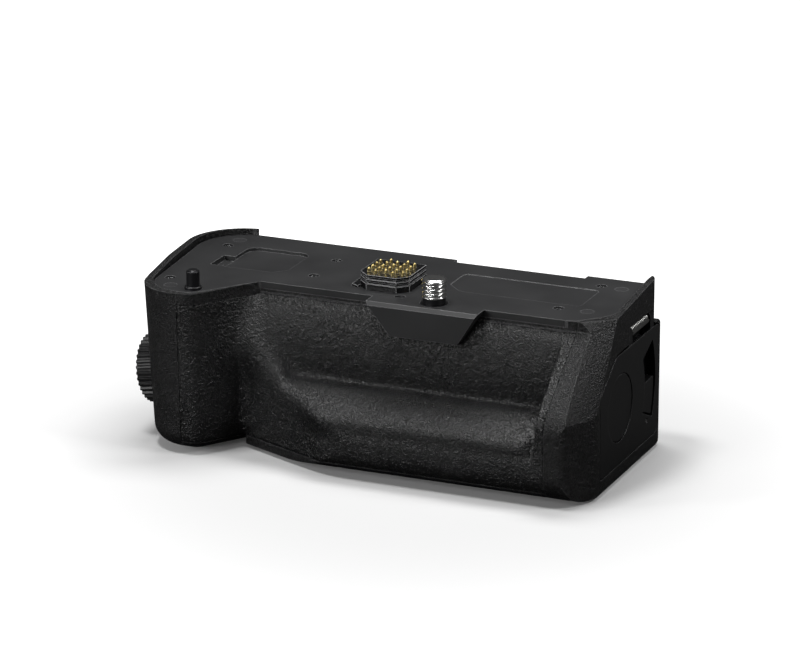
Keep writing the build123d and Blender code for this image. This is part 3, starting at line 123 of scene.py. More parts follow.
def surface(name, colour, rough, metal=0.0, grain=0.3, pitch=0.35, lift=0.02, leather=0.0,
            cell=0.9, depth=0.14, vary=0.35, edge_highlight=0.0, edge_highlight_colour=(0.2, 0.2, 0.2), edge=0.2,
            coat=0.0, brushed=None, spec=0.5):
    """A procedural surface: fine grain, optional pebbles, colour drift and rounded edges with a painted
    highlight.

    pitch, lift, cell, depth and edge are in millimetres.
    """
    mat = bpy.data.materials.new(name)
    mat.use_nodes = True
    tree = mat.node_tree
    nodes = tree.nodes
    shader = nodes["Principled BSDF"]
    shader.inputs["Metallic"].default_value = metal
    shader.inputs["Specular IOR Level"].default_value = spec
    shader.inputs["Coat Weight"].default_value = coat
    shader.inputs["Coat Roughness"].default_value = COAT_ROUGH
    where = nodes.new("ShaderNodeTexCoord")
    fine = nodes.new("ShaderNodeTexNoise")
    fine.inputs["Scale"].default_value = 1 / (pitch * MM)
    fine.inputs["Detail"].default_value = 5
    fine.inputs["Roughness"].default_value = 0.62
    if brushed:
        stretch = nodes.new("ShaderNodeMapping")
        stretch.inputs["Scale"].default_value = brushed
        link_all(tree, [(where.outputs["Object"], stretch.inputs["Vector"]),
                        (stretch.outputs["Vector"], fine.inputs["Vector"])])
    else:
        tree.links.new(where.outputs["Object"], fine.inputs["Vector"])
    drift = nodes.new("ShaderNodeTexNoise")
    drift.inputs["Scale"].default_value = DRIFT_SCALE
    drift.inputs["Detail"].default_value = 4
    tree.links.new(where.outputs["Object"], drift.inputs["Vector"])
    # Colour: a slow drift plus a little of the grain
    blend = nodes.new("ShaderNodeMath")
    blend.operation = "MULTIPLY_ADD"
    blend.inputs[1].default_value = GRAIN_SHARE
    link_all(tree, [(fine.outputs["Fac"], blend.inputs[0]), (drift.outputs["Fac"], blend.inputs[2])])
    tone = nodes.new("ShaderNodeValToRGB")
    dark = [c * (1 - vary) for c in colour]
    light = [min(1, c * (1 + vary)) for c in colour]
    tone.color_ramp.elements[0].position = TONE_DARK
    tone.color_ramp.elements[0].color = (*dark, 1)
    tone.color_ramp.elements[1].position = TONE_LIGHT
    tone.color_ramp.elements[1].color = (*light, 1)
    tree.links.new(blend.outputs[0], tone.inputs["Fac"])
    colour_out = tone.outputs["Color"]
    # Roughness follows both noises
    polish = nodes.new("ShaderNodeMapRange")
    polish.inputs["From Min"].default_value = POLISH_START
    polish.inputs["From Max"].default_value = 1.0
    polish.inputs["To Min"].default_value = max(LEAST_ROUGH, rough - SMOOTHER)
    polish.inputs["To Max"].default_value = min(1, rough + ROUGHER)
    tree.links.new(blend.outputs[0], polish.inputs["Value"])
    rough_out = polish.outputs["Result"]
    # Rounded edges, pale in patches: a painted highlight along them
    normal_out = None
    if edge:
        bevel = nodes.new("ShaderNodeBevel")
        bevel.samples = 4
        bevel.inputs["Radius"].default_value = edge * MM
        normal_out = bevel.outputs["Normal"]
        # Pale colour mixed onto rounded edges in patches, a painted highlight
        if edge_highlight:
            flat = nodes.new("ShaderNodeNewGeometry")
            dot = nodes.new("ShaderNodeVectorMath")
            dot.operation = "DOT_PRODUCT"
            link_all(tree, [(bevel.outputs["Normal"], dot.inputs[0]),
                            (flat.outputs["Normal"], dot.inputs[1])])
            mask = nodes.new("ShaderNodeMapRange")
            mask.inputs["From Min"].default_value = HIGHLIGHT_FROM
            mask.inputs["From Max"].default_value = HIGHLIGHT_FULL
            mask.inputs["To Max"].default_value = 2 * edge_highlight
            tree.links.new(dot.outputs["Value"], mask.inputs["Value"])
            patch = nodes.new("ShaderNodeMath")
            patch.operation = "MULTIPLY"
            link_all(tree, [(mask.outputs["Result"], patch.inputs[0]),
                            (drift.outputs["Fac"], patch.inputs[1])])
            highlighted = nodes.new("ShaderNodeMix")
            highlighted.data_type = "RGBA"
            highlighted.inputs["B"].default_value = (*edge_highlight_colour, 1)
            link_all(tree, [(patch.outputs[0], highlighted.inputs["Factor"]),
                            (colour_out, highlighted.inputs["A"])])
            colour_out = highlighted.outputs["Result"]
    # Fine grain
    bump = nodes.new("ShaderNodeBump")
    bump.inputs["Strength"].default_value = grain
    bump.inputs["Distance"].default_value = lift * MM
    tree.links.new(fine.outputs["Fac"], bump.inputs["Height"])
    if normal_out:
        tree.links.new(normal_out, bump.inputs["Normal"])
    normal_out = bump.outputs["Normal"]
    # Pebbles, duller in the grooves between them
    if leather:
        warp = nodes.new("ShaderNodeMix")
        warp.data_type = "RGBA"
        warp.inputs["Factor"].default_value = BEND
        wobble = nodes.new("ShaderNodeTexNoise")
        wobble.inputs["Scale"].default_value = BEND_SCALE / (cell * MM)
        wobble.inputs["Detail"].default_value = 2
        cells = nodes.new("ShaderNodeTexVoronoi")
        cells.feature = "SMOOTH_F1"
        cells.inputs["Scale"].default_value = 1 / (cell * MM)
        cells.inputs["Smoothness"].default_value = PEBBLE_SOFT
        link_all(tree, [(where.outputs["Object"], warp.inputs["A"]),
                        (where.outputs["Object"], wobble.inputs["Vector"]),
                        (wobble.outputs["Color"], warp.inputs["B"]),
                        (warp.outputs["Result"], cells.inputs["Vector"])])
        relief = nodes.new("ShaderNodeBump")
        relief.inputs["Strength"].default_value = leather
        relief.inputs["Distance"].default_value = depth * MM
        relief.invert = True
        link_all(tree, [(cells.outputs["Distance"], relief.inputs["Height"]),
                        (normal_out, relief.inputs["Normal"])])
        normal_out = relief.outputs["Normal"]
        shine = nodes.new("ShaderNodeMapRange")
        shine.inputs["From Min"].default_value = PEBBLE_MIDDLE
        shine.inputs["From Max"].default_value = PEBBLE_RIM
        shine.inputs["To Min"].default_value = MIDDLE_GLOSS
        shine.inputs["To Max"].default_value = RIM_GLOSS
        total = nodes.new("ShaderNodeMath")
        total.operation = "ADD"
        link_all(tree, [(cells.outputs["Distance"], shine.inputs["Value"]),
                        (shine.outputs["Result"], total.inputs[0]), (rough_out, total.inputs[1])])
        rough_out = total.outputs[0]
    link_all(tree, [(colour_out, shader.inputs["Base Color"]),
                    (rough_out, shader.inputs["Roughness"]),
                    (normal_out, shader.inputs["Normal"])])
    return mat


# Pale grey painted on rounded edges as a highlight
GREY_EDGE_HIGHLIGHT = (0.09, 0.09, 0.092)
SURFACES = {
    "case_plastic": dict(
        colour=(0.0042, 0.0042, 0.0044), rough=0.34, leather=1.0, cell=0.62, depth=0.26, grain=0.7,
        pitch=0.26, lift=0.05, edge_highlight=0.9, edge_highlight_colour=GREY_EDGE_HIGHLIGHT, edge=0.3, spec=0.4,
    ),
    "plate_plastic": dict(
        colour=(0.019, 0.0192, 0.0198), rough=0.42, grain=0.14, pitch=0.16, lift=0.012, vary=0.12,
        edge_highlight=1.0, edge_highlight_colour=(0.22, 0.22, 0.225), edge=0.22, spec=0.4,
    ),
    "grip_rubber": dict(
        colour=(0.0035, 0.0035, 0.0036), rough=0.29, leather=1.0, cell=0.7, depth=0.29, grain=0.9,
        pitch=0.3, lift=0.06, vary=0.3, edge=0,
    ),
    "bay_plastic": dict(
        colour=(0.008, 0.008, 0.009), rough=0.4, grain=0.2, pitch=0.3, edge=0.2,
    ),
    "gold_contact": dict(
        colour=(1.0, 0.74, 0.3), rough=0.3, metal=1, grain=0.12, pitch=0.1, lift=0.006, vary=0.12,
        edge=0.08,
    ),
    "door_plastic": dict(
        colour=(0.005, 0.005, 0.0053), rough=0.4, grain=0.6, pitch=0.24, lift=0.04, edge_highlight=0.8,
        edge_highlight_colour=GREY_EDGE_HIGHLIGHT, edge=0.22, spec=0.4,
    ),
    "seal_foam": dict(
        colour=(0.01, 0.01, 0.01), rough=0.85, grain=0.6, pitch=0.15, lift=0.05, edge=0,
    ),
    "bright_steel": dict(
        colour=(0.8, 0.8, 0.79), rough=0.22, metal=1, grain=0.16, pitch=0.12, lift=0.01, vary=0.15,
        edge=0.1, brushed=(1, 1, 7),
    ),
    "dark_steel": dict(
        colour=(0.02, 0.02, 0.022), rough=0.33, metal=0.7, grain=0.2, pitch=0.14, lift=0.012,
        vary=0.3, edge_highlight=0.8, edge_highlight_colour=(0.3, 0.3, 0.3), edge=0.12,
    ),
    "spring_steel": dict(
        colour=(0.36, 0.36, 0.35), rough=0.3, metal=1, grain=0.2, pitch=0.1, lift=0.008, vary=0.2,
        edge=0,
    ),
    "gear_metal": dict(
        colour=(0.62, 0.47, 0.22), rough=0.28, metal=1, grain=0.2, pitch=0.15, lift=0.01,
        vary=0.18, edge=0.1,
    ),
    "control_plastic": dict(
        colour=(0.006, 0.006, 0.0063), rough=0.34, grain=0.25, pitch=0.25, lift=0.02, edge_highlight=0.8,
        edge_highlight_colour=GREY_EDGE_HIGHLIGHT, edge=0.14, spec=0.45,
    ),
    "gloss_black": dict(
        colour=(0.006, 0.006, 0.0063), rough=0.16, grain=0.06, pitch=0.4, lift=0.006, coat=0.5,
        edge=0.15,
    ),
    # Near-white painted highlight along the rounded edges of the terminal block
    "terminal_plastic": dict(
        colour=(0.004, 0.004, 0.0045), rough=0.26, grain=0.2, pitch=0.12, lift=0.015, edge_highlight=1.0,
        edge_highlight_colour=(0.7, 0.7, 0.71), edge=0.2, spec=0.4,
    ),
    "pad_plastic": dict(
        colour=(0.024, 0.024, 0.025), rough=0.42, grain=0.2, pitch=0.14, lift=0.01, vary=0.15,
        edge_highlight=0.8, edge_highlight_colour=(0.12, 0.12, 0.12), edge=0.12, spec=0.4,
    ),
    "board": dict(
        colour=(0.012, 0.07, 0.03), rough=0.35, grain=0.3, pitch=0.5, lift=0.02, edge=0,
    ),
    "foot_rubber": dict(
        colour=(0.006, 0.006, 0.006), rough=0.6, grain=0.5, pitch=0.2, lift=0.03, edge=0.2,
    ),
}
MATS = {name: surface(name, **look) for name, look in SURFACES.items()}
for entry in frame["record"]["subparts"]:
    node = NODES[entry["node"]]
    node.data.materials.clear()
    node.data.materials.append(MATS[entry["material_slot"]])


# Mesh helpers

ROWS_PER_TURN = 14
RUN_OUT = 0.35
GROOVE_SHARE = 0.42
GEAR_TIP = 0.9
GEAR_ROOT = 1.3
GEAR_TIP_SHARE = 0.13
GEAR_ROOT_SHARE = 0.3
GEAR_EDGE = 0.15
GEAR_TRIM = 0.12


def piece(name, mesh, node, smooth=True):
    """Put a finished mesh into the scene in place of its CAD node, riding where that rides."""
    obj = bpy.data.objects.new(name, mesh)
    bpy.context.scene.collection.objects.link(obj)
    slots = {e["node"]: e["material_slot"] for e in frame["record"]["subparts"]}
    key = slots[node]
    if not mesh.materials:
        mesh.materials.append(MATS[key])
    if smooth:
        mesh.polygons.foreach_set("use_smooth", [True] * len(mesh.polygons))
    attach(obj, BODY[node])
    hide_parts(node)
    return obj


def separate_boxes(node):
    """The low and high corner of each separate piece of a node, in millimetres."""
    bm = bmesh.new()
    bm.from_mesh(NODES[node].data)
    bmesh.ops.remove_doubles(bm, verts=bm.verts, dist=WELD * MM)
    boxes = []
    done = set()
    for vert in bm.verts:
        if vert in done:
            continue
        group = set()
        todo = [vert]
        while todo:
            here = todo.pop()
            if here not in group:
                group.add(here)
                todo += [edge.other_vert(here) for edge in here.link_edges]
        done |= group
        points = np.array([v.co for v in group]) / MM
        boxes.append((points.min(axis=0), points.max(axis=0)))
    bm.free()
    return boxes


def circle(bm, x, y, z, radius, steps):
    """A ring of vertices at a height, in millimetres."""
    return [bm.verts.new(((x + radius * math.cos(math.tau * k / steps)) * MM,
                          (y + radius * math.sin(math.tau * k / steps)) * MM, z * MM))
            for k in range(steps)]


def add_lathe(bm, profile, steps, place=Matrix.Identity(4)):
    """Turn (radius, height) points in millimetres about Z into a closed skin."""
    rings = []
    for radius, z in profile:
        ring = []
        for k in range(steps):
            a = math.tau * k / steps
            p = Vector((radius * math.cos(a) * MM, radius * math.sin(a) * MM, z * MM))
            ring.append(bm.verts.new(place @ p))
        rings.append(ring)
    for low, high in zip(rings, rings[1:]):
        for k in range(steps):
            j = (k + 1) % steps
            bm.faces.new((low[k], low[j], high[j], high[k]))
    bm.faces.new(list(reversed(rings[0])))
    bm.faces.new(rings[-1])


def add_thread(bm, x, y, low, high, outer, depth, pitch, steps=64, inside=False):
    """A screw thread between two heights, as one skin whose radius follows the helix.

    Its groove fades out at both ends.
    """
    rows = int((high - low) / pitch * ROWS_PER_TURN)
    rings = []
    for row in range(rows + 1):
        z = low + (high - low) * row / rows
        fade = min(1, (z - low) / (pitch * RUN_OUT), (high - z) / (pitch * RUN_OUT))
        ring = []
        for k in range(steps):
            turn = k / steps
            phase = (z / pitch - turn) % 1.0
            groove = max(0.0, 1 - abs(phase - 0.5) / GROOVE_SHARE)
            cut = depth * groove * max(0.0, fade)
            radius = outer + cut if inside else outer - cut
            a = math.tau * turn
            ring.append(bm.verts.new(((x + radius * math.cos(a)) * MM,
                                      (y + radius * math.sin(a)) * MM, z * MM)))
        rings.append(ring)
    for a, b in zip(rings, rings[1:]):
        for k in range(steps):
            j = (k + 1) % steps
            face = (a[k], a[j], b[j], b[k])
            bm.faces.new(tuple(reversed(face)) if inside else face)
    return rings


def to_mesh(bm, name):
    """Turn a finished build mesh into mesh data."""
    bm.normal_update()
    mesh = bpy.data.meshes.new(name)
    bm.to_mesh(mesh)
    bm.free()
    return mesh


def add_gear(bm, teeth, module, x, y, phase, low, high):
    """A spur gear with tapered teeth, in millimetres."""
    pitch = module * teeth / 2
    root = pitch - module * GEAR_ROOT
    rings = []
    levels = (low, low + GEAR_EDGE, high - GEAR_EDGE, high)
    for z, trim in zip(levels, (GEAR_TRIM, 0, 0, GEAR_TRIM)):
        tip = pitch + module * GEAR_TIP - trim
        ring = []
        for tooth in range(teeth):
            for radius, share in ((root, -GEAR_ROOT_SHARE), (tip, -GEAR_TIP_SHARE),
                                  (tip, GEAR_TIP_SHARE), (root, GEAR_ROOT_SHARE)):
                a = math.radians(phase + (tooth + share) * 360 / teeth)
                ring.append(bm.verts.new(((x + radius * math.cos(a)) * MM,
                                          (y + radius * math.sin(a)) * MM, z * MM)))
        rings.append(ring)
    count = len(rings[0])
    for a, b in zip(rings, rings[1:]):
        for k in range(count):
            j = (k + 1) % count
            bm.faces.new((a[k], a[j], b[j], b[k]))
    bm.faces.new(list(reversed(rings[0])))
    bm.faces.new(rings[-1])


# Sizes that the pieces below share with the solids, in millimetres

SCREW_PITCH = 1.08
SCREW_RADIUS = 3.175
SCREW_GROOVE = 0.62
THREAD_LOW = 1.75
THREAD_HIGH = 6.1
SCREW_TIP = ((2.72, 6.6), (2.3, 6.6), (1.0, 6.58))
SCREW_SHANK = ((2.75, -7.65), (2.95, -5.2), (2.95, 1.7), (2.6, 1.85))
SCREW_JOURNAL = ((1.35, -9.1), (1.48, -8.9), (1.48, -7.6))
PINION_TEETH = 12
GEAR_MODULE = 0.65
PINION_LOW = -7.7
PINION_HIGH = -5.3
SPRING_TURNS = 13
SPRING_WIRE = 0.5
PLATE_HEAD = dict(radius=1.33, tall=1.3)
BASE_HEAD = dict(radius=1.46, tall=1.1)
# Heights of the foot and the socket are over their own lowest face
FOOT_DOME = ((0.3, 0), (0.8, 0.02), (1.1, 0.15), (1.2, 0.4), (1.2, 1.0))
SOCKET_MOUTH = 0.1
SOCKET_END = 3.5
SOCKET_THREAD = dict(outer=3.0, depth=0.42, pitch=1.27)
SOCKET_OUTSIDE = ((3.45, 0), (6.2, 0), (6.4, 0.15), (6.4, 1.0), (4.775, 1.0), (4.775, 4.6))


# Camera screw: a cut thread over a shank painted dark as shade, with its pinion below


def camera_screw():
    """The thread with its run-out tip is bright, and all below it is dark, a painted shade on the shank.
    """
    bm = bmesh.new()
    rings = add_thread(bm, 0, 0, THREAD_LOW, THREAD_HIGH, SCREW_RADIUS, SCREW_GROOVE, SCREW_PITCH)
    count = len(rings[0])
    last = rings[-1]
    for ring in [circle(bm, 0, 0, z, radius, count) for radius, z in SCREW_TIP]:
        for k in range(count):
            j = (k + 1) % count
            bm.faces.new((last[k], last[j], ring[j], ring[k]))
        last = ring
    bm.faces.new(last)
    bm.faces.new(list(reversed(rings[0])))
    bright = len(bm.faces)
    add_lathe(bm, SCREW_SHANK, 48)
    add_lathe(bm, SCREW_JOURNAL, 32)
    wheel_x, wheel_y, _ = AXES["wheel_turn"]
    turn = math.degrees(math.atan2(wheel_y, wheel_x))
    add_gear(bm, PINION_TEETH, GEAR_MODULE, 0, 0, turn, PINION_LOW, PINION_HIGH)
    bm.faces.ensure_lookup_table()
    # All faces below the thread take the dark steel, painted shade on the shank
    for face in bm.faces[bright:]:
        face.material_index = 1
    mesh = to_mesh(bm, "screw")
    mesh.materials.append(MATS["bright_steel"])
    mesh.materials.append(MATS["dark_steel"])
    obj = piece("camera_screw_threaded", mesh, "camera_screw")
    edge = obj.modifiers.new("split", "EDGE_SPLIT")
    edge.split_angle = math.radians(50)


# Hinge spring: a smooth wire coil

STEPS_PER_TURN = 20


def helix_points(front, back, radius, turns):
    """Points along a coil about the hinge line, in millimetres."""
    hinge_x, _, hinge_z = AXES["door_hinge"]
    points = []
    for k in range(int(turns * STEPS_PER_TURN) + 1):
        t = k / STEPS_PER_TURN
        y = front + (back - front) * t / turns
        a = math.tau * t
        points.append((hinge_x / MM + radius * math.cos(a), y, hinge_z / MM + radius * math.sin(a)))
    return points


def wire(name, points, thick, node):
    """A round wire through points in millimetres."""
    curve = bpy.data.curves.new(name, "CURVE")
    curve.dimensions = "3D"
    curve.bevel_depth = thick / 2 * MM
    curve.bevel_resolution = 3
    curve.use_fill_caps = True
    line = curve.splines.new("POLY")
    line.points.add(len(points) - 1)
    for p, (x, y, z) in zip(line.points, points):
        p.co = (x * MM, y * MM, z * MM, 1)
    holder = bpy.data.objects.new(name + "_curve", curve)
    bpy.context.scene.collection.objects.link(holder)
    bpy.context.view_layer.update()
    mesh = bpy.data.meshes.new_from_object(holder)
    bpy.data.objects.remove(holder)
    mesh.materials.clear()
    return piece(name, mesh, node)


def hinge_spring():
    low, high = separate_boxes("hinge_spring")[0]
    radius = (high[0] - low[0] - SPRING_WIRE) / 2
    coil = helix_points(low[1] + SPRING_WIRE, high[1] - SPRING_WIRE, radius, SPRING_TURNS)
    wire("hinge_spring_wire", coil, SPRING_WIRE, "hinge_spring")


# Screws with a cross recess

CROSS_HALF_SHARE = 0.13
CROSS_REACH_SHARE = 0.62
CROSS_FLOOR_SHARE = 0.8
CROSS_DEEP = 0.42
HEAD_SHARES = (0.98, 0.98, 0.88)
HEAD_EDGE = 0.14
HEAD_RISE = 0.02


def cross_screws(name, node, radius, tall, down=False):
    """Screw heads with a bevelled rim and a cross sunk into them, in millimetres."""
    bm = bmesh.new()
    flip = Matrix.Diagonal((1, 1, -1 if down else 1, 1))
    half = radius * CROSS_HALF_SHARE
    reach = radius * CROSS_REACH_SHARE
    outline = []
    for arm in range(4):
        a = Matrix.Rotation(math.radians(90 * arm), 4, "Z")
        for px, py in ((half, half), (reach, half), (reach, -half)):
            outline.append(a @ Vector((px, py, 0)))
    outline.sort(key=lambda v: math.atan2(v.y, v.x))
    count = len(outline)
    for index, (low, high) in enumerate(separate_boxes(node)):
        x, y, _ = (low + high) / 2
        top = low[2] if down else high[2]
        turn = Matrix.Rotation(math.radians(17 + 41 * index), 4, "Z")
        place = Matrix.Translation((x * MM, y * MM, top * MM)) @ turn @ flip

        def ring(share, z):
            return [bm.verts.new(place @ Vector((p.x * share * MM, p.y * share * MM, z * MM)))
                    for p in outline]

        def rim(share, z):
            angles = [math.atan2(p.y, p.x) for p in outline]
            return [bm.verts.new(place @ Vector((radius * share * math.cos(a) * MM,
                                                 radius * share * math.sin(a) * MM, z * MM)))
                    for a in angles]

        rings = [rim(share, z) for share, z in zip(HEAD_SHARES, (-tall, -HEAD_EDGE, 0))]
        rings += [ring(1, HEAD_RISE), ring(CROSS_FLOOR_SHARE, -CROSS_DEEP)]
        for a, b in zip(rings, rings[1:]):
            for k in range(count):
                j = (k + 1) % count
                quad = (a[k], a[j], b[j], b[k])
                bm.faces.new(tuple(reversed(quad)) if down else quad)
        bm.faces.new(list(reversed(rings[-1])) if down else rings[-1])
        bm.faces.new(rings[0] if down else list(reversed(rings[0])))
    piece(name, to_mesh(bm, name), node, smooth=False)


# Tripod socket: a flange with a threaded bore


def tripod_socket():
    bm = bmesh.new()
    low, high = separate_boxes("tripod_socket")[0]
    x, y, _ = (low + high) / 2
    rings = add_thread(bm, x, y, low[2] + SOCKET_MOUTH, low[2] + SOCKET_END, **SOCKET_THREAD, inside=True)
    count = len(rings[0])
    mouth = rings[0]
    for radius, z in SOCKET_OUTSIDE:
        ring = circle(bm, x, y, low[2] + z, radius, count)
        for k in range(count):
            j = (k + 1) % count
            bm.faces.new((mouth[k], ring[k], ring[j], mouth[j]))
        mouth = ring
    bm.faces.new(mouth)
    bm.faces.new(list(reversed(rings[-1])))
    bmesh.ops.recalc_face_normals(bm, faces=bm.faces)
    obj = piece("tripod_socket_threaded", to_mesh(bm, "socket"), "tripod_socket")
    edge = obj.modifiers.new("split", "EDGE_SPLIT")
    edge.split_angle = math.radians(40)


# Feet: low domes


def feet():
    bm = bmesh.new()
    for low, high in separate_boxes("rubber_feet"):
        x, y, _ = (low + high) / 2
        add_lathe(bm, FOOT_DOME, 28, Matrix.Translation((x * MM, y * MM, low[2] * MM)))
    piece("rubber_feet_domed", to_mesh(bm, "feet"), "rubber_feet")


camera_screw()
hinge_spring()
cross_screws("plate_screws_crossed", "plate_screws", **PLATE_HEAD)
cross_screws("base_screws_crossed", "base_screws", **BASE_HEAD, down=True)
tripod_socket()
feet()


# Front rubber: the solid's skin, remeshed evenly, with flowing corners. In millimetres

VOXEL = 0.36
CALM_PASSES = 4
CALM_SHARE = 0.5
FLOW_PASSES = 260
FLOW_SHARE = 0.5
# The skin is 1 mm thick, and its outer face may sink this far
DEEPEST = 0.85
INNER_FACE = 0.4
OUTER_FACE = 0.85
# Steps of the weight, each from where it is nothing to where it is full
SKIN_TOP = (3.2, 5.5)
SKIN_LOW = (40.0, 38.0)
LEFT_SEAM = (-62.8, -60.5)
RIGHT_SEAM = (33.5, 31.0)
TAB_LEFT = (-22, -18)
TAB_RIGHT = (15, 19)
TAB_LOW = (-11.5, -9.5)
LOBE_FRONT = (-59, -54)
RIM_START = (-42, -34)
RIM_END = (-32, -20)
RIM_LOSS = 0.8
LEAST_FLOW = 0.06
# The saddle between lobe and pocket: middle, half widths and rise
SADDLE_X = -48.5
SADDLE_Z = -15
SADDLE_WIDE = 4.5
SADDLE_TALL = 7
SADDLE_RISE = 3.0
# The face under the crest, which stands a little steeper than the solid's
CREST_Z = -27.6
CREST_TALL = 2.7
CREST_RISE = 1.9
CREST_LEFT = (-34, -24)
CREST_FRONT = (9.5, 12.0)


def ramp(value, step):
    """A smooth step from 0 at its start to 1 at its end."""
    start, end = step
    share = np.clip((value - start) / (end - start), 0, 1)
    return share * share * (3 - 2 * share)


def depth_over(points, node):
    """How far each point lies from a node's surface, in millimetres."""
    solid = NODES[node]
    corners = [solid.matrix_world @ v.co for v in solid.data.vertices]
    tree = BVHTree.FromPolygons(corners, [list(f.vertices) for f in solid.data.polygons])
    return np.array([(tree.find_nearest(Vector(p))[3] or 0) / MM for p in points])


def flow(mesh, backing):
    """Let the lobe, valley and pocket rim run into one another, as the moulded skin does.

    Only the outer face moves, and never deeper than the shell under it allows.
    """
    count = len(mesh.vertices)
    start = np.empty(count * 3)
    mesh.vertices.foreach_get("co", start)
    start = start.reshape(-1, 3) / MM
    normals = np.empty(count * 3)
    mesh.vertex_normals.foreach_get("vector", normals)
    normals = normals.reshape(-1, 3)
    pairs = np.empty(len(mesh.edges) * 2, dtype=np.int64)
    mesh.edges.foreach_get("vertices", pairs)
    one, two = pairs.reshape(-1, 2).T
    links = np.bincount(one, minlength=count) + np.bincount(two, minlength=count)
    x, y, z = start.T
    outer = ramp(depth_over(start * MM, backing), (INNER_FACE, OUTER_FACE))
    edge = ramp(-z, SKIN_TOP) * ramp(-z, SKIN_LOW) * ramp(x, LEFT_SEAM) * ramp(x, RIGHT_SEAM)
    edge *= 1 - ramp(x, TAB_LEFT) * ramp(z, TAB_LOW) * (1 - ramp(x, TAB_RIGHT))
    place = ramp(x, LOBE_FRONT) * (1 - RIM_LOSS * ramp(x, RIM_START)) * (1 - ramp(x, RIM_END))
    weight = (outer * edge * (LEAST_FLOW + (1 - LEAST_FLOW) * place))[:, None]
    saddle = np.exp(-((x - SADDLE_X) / SADDLE_WIDE) ** 2 - ((z - SADDLE_Z) / SADDLE_TALL) ** 2)
    here = start.copy()
    here[:, 1] -= SADDLE_RISE * saddle * weight[:, 0]
    crest = np.exp(-((z - CREST_Z) / CREST_TALL) ** 2)
    crest *= ramp(x, CREST_LEFT) * ramp(x, RIGHT_SEAM) * ramp(-y, CREST_FRONT)
    here[:, 1] -= CREST_RISE * crest * outer
    for _ in range(FLOW_PASSES):
        total = np.stack(
            [np.bincount(one, here[two, axis], count) + np.bincount(two, here[one, axis], count)
             for axis in range(3)], axis=1)
        here += FLOW_SHARE * weight * (total / np.maximum(links, 1)[:, None] - here)
    shift = here - start
    sunk = -(shift * normals).sum(axis=1)
    shift += normals * np.maximum(0, sunk - DEEPEST)[:, None]
    mesh.vertices.foreach_set("co", ((start + shift) * MM).ravel())
    mesh.update()


def leather_skin(name, node, backing):
    """A rubber skin as one even mesh, shaped by flow()."""
    mesh = NODES[node].data.copy()
    obj = bpy.data.objects.new(name, mesh)
    bpy.context.scene.collection.objects.link(obj)
    weld = obj.modifiers.new("weld", "WELD")
    weld.merge_threshold = WELD * MM
    remesh = obj.modifiers.new("even", "REMESH")
    remesh.mode = "VOXEL"
    remesh.voxel_size = VOXEL * MM
    calm = obj.modifiers.new("calm", "SMOOTH")
    calm.factor = CALM_SHARE
    calm.iterations = CALM_PASSES
    bpy.context.view_layer.update()
    graph = bpy.context.evaluated_depsgraph_get()
    done = bpy.data.meshes.new_from_object(obj.evaluated_get(graph))
    obj.modifiers.clear()
    bpy.data.objects.remove(obj)
    done.materials.clear()
    flow(done, backing)
    piece(name, done, node)


leather_skin("front_grip_leather", "front_grip_rubber", "front_shell")


# Stage: a pale floor, soft lamps and the photograph's camera. In metres

FLOOR_REACH = 3.0
FLOOR_TO_PART = 0.03
WORLD_TO_PART = 0.04
# Name, place, aim, width, depth and power
LAMPS = (
    ("top_box", (-0.02, 0.16, 0.48), (0, 0.01, -0.02), 0.36, 0.16, 1.9),
    ("key", (-0.1, -0.1, 0.56), (-0.01, 0, -0.02), 0.16, 0.1, 1.6),
    ("right", (0.45, 0.02, 0.36), (0, 0.01, -0.02), 0.2, 0.2, 1.5),
    ("front", (-0.28, -0.7, 0.17), (-0.01, 0, -0.02), 0.24, 0.07, 2.0),
    ("front_left", (-0.5, -0.36, 0.2), (-0.03, 0, -0.02), 0.1, 0.14, 0.9),
)
CAMERA_PLACE = (0.4015, -0.9678, 0.3348)
CAMERA_RIGHT = (0.9205, 0.3907, 0.0)
CAMERA_UP = (-0.1207, 0.2845, 0.9511)
# The lens is worked out from the view's length and the picture's width, both in pixels
VIEW_PIXELS = 4400
PICTURE_PIXELS = 800
SENSOR = 36
CLIP = (0.05, 30)


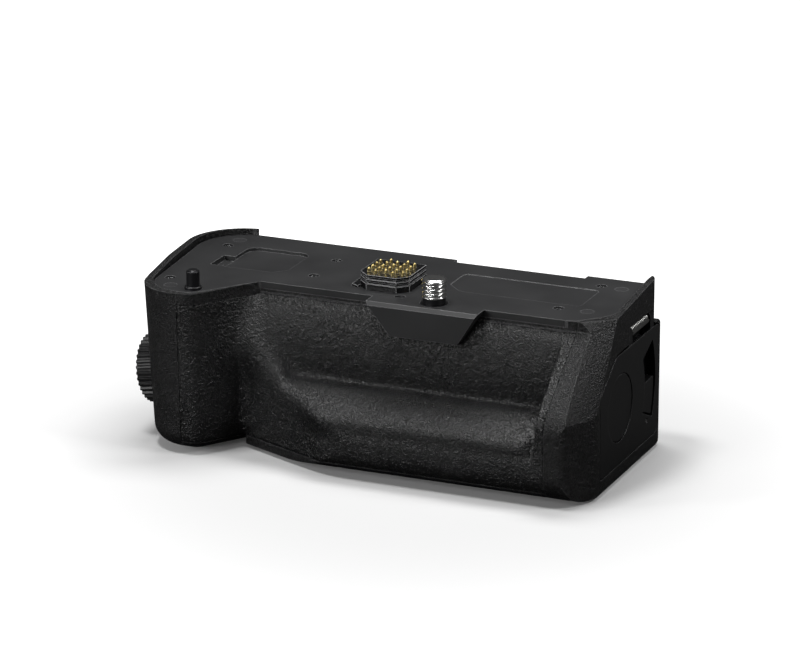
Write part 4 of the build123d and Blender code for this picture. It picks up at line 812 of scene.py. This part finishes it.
def floor():
    """White to the camera, and dark to the part, which would else be lit from below."""
    mesh = bpy.data.meshes.new("floor")
    r = FLOOR_REACH
    z = CAD_BOX[0][2]
    mesh.from_pydata([(-r, -r, z), (r, -r, z), (r, r, z), (-r, r, z)], [], [(0, 1, 2, 3)])
    obj = bpy.data.objects.new("floor", mesh)
    bpy.context.scene.collection.objects.link(obj)
    mat = bpy.data.materials.new("floor_white")
    mat.use_nodes = True
    tree = mat.node_tree
    tree.nodes.clear()
    out = tree.nodes.new("ShaderNodeOutputMaterial")
    paper = tree.nodes.new("ShaderNodeBsdfDiffuse")
    tint = tree.nodes.new("ShaderNodeMapRange")
    tint.inputs["To Min"].default_value = FLOOR_BOUNCE
    tint.inputs["To Max"].default_value = WHITE
    glow = tree.nodes.new("ShaderNodeEmission")
    rays = tree.nodes.new("ShaderNodeLightPath")
    seen = tree.nodes.new("ShaderNodeMath")
    seen.operation = "MAXIMUM"
    gain = tree.nodes.new("ShaderNodeMath")
    gain.operation = "MULTIPLY"
    where = tree.nodes.new("ShaderNodeTexCoord")
    reach = tree.nodes.new("ShaderNodeVectorMath")
    reach.operation = "LENGTH"
    level = tree.nodes.new("ShaderNodeMapRange")
    level.interpolation_type = "SMOOTHSTEP"
    level.inputs["From Min"].default_value = GLOW_START
    level.inputs["From Max"].default_value = GLOW_FULL
    level.inputs["To Min"].default_value = GLOW_NEAR
    level.inputs["To Max"].default_value = 1.0
    both = tree.nodes.new("ShaderNodeAddShader")
    seen.inputs[1].default_value = FLOOR_TO_PART
    link_all(tree, [(rays.outputs["Is Camera Ray"], seen.inputs[0]),
                    (rays.outputs["Is Camera Ray"], tint.inputs["Value"]),
                    (tint.outputs["Result"], paper.inputs["Color"]),
                    (where.outputs["Object"], reach.inputs[0]),
                    (reach.outputs["Value"], level.inputs["Value"]),
                    (seen.outputs[0], gain.inputs[0]), (level.outputs["Result"], gain.inputs[1]),
                    (gain.outputs[0], glow.inputs["Strength"]),
                    (paper.outputs[0], both.inputs[0]), (glow.outputs[0], both.inputs[1]),
                    (both.outputs[0], out.inputs["Surface"])])
    mesh.materials.append(mat)


def lamp(name, place, aim, width, depth, power):
    """A rectangular area lamp at a place, facing its aim."""
    light = bpy.data.lights.new(name, "AREA")
    light.shape = "RECTANGLE"
    light.size = width
    light.size_y = depth
    light.energy = power
    light.spread = math.pi
    obj = bpy.data.objects.new(name, light)
    bpy.context.scene.collection.objects.link(obj)
    obj.location = place
    obj.rotation_euler = (Vector(aim) - Vector(place)).to_track_quat("-Z", "Y").to_euler()


def world():
    """White behind the floor, and dim where the part reflects it."""
    scene_world = bpy.data.worlds.new("studio")
    bpy.context.scene.world = scene_world
    scene_world.use_nodes = True
    tree = scene_world.node_tree
    back = tree.nodes["Background"]
    back.inputs["Color"].default_value = (1, 1, 1, 1)
    rays = tree.nodes.new("ShaderNodeLightPath")
    seen = tree.nodes.new("ShaderNodeMath")
    seen.operation = "MAXIMUM"
    level = tree.nodes.new("ShaderNodeMapRange")
    level.inputs["To Min"].default_value = WORLD_TO_PART
    level.inputs["To Max"].default_value = 1.0
    link_all(tree, [(rays.outputs["Is Camera Ray"], seen.inputs[0]),
                    (rays.outputs["Is Transmission Ray"], seen.inputs[1]),
                    (seen.outputs[0], level.inputs["Value"]),
                    (level.outputs["Result"], back.inputs["Strength"])])


def camera():
    """The photograph's view, found by matching corners of the part."""
    data = bpy.data.cameras.new("camera")
    data.sensor_width = SENSOR
    data.lens = VIEW_PIXELS / PICTURE_PIXELS * SENSOR
    data.clip_start, data.clip_end = CLIP
    obj = bpy.data.objects.new("camera", data)
    bpy.context.scene.collection.objects.link(obj)
    right = Vector(CAMERA_RIGHT)
    back = right.cross(Vector(CAMERA_UP)).normalized()
    up = back.cross(right).normalized()
    turn = Matrix((right, up, back)).transposed()
    obj.matrix_world = Matrix.Translation(CAMERA_PLACE) @ turn.to_4x4()
    bpy.context.scene.camera = obj


floor()
world()
for settings in LAMPS:
    lamp(*settings)
camera()
bpy.context.scene.view_settings.view_transform = "Standard"

bpy.context.view_layer.update()
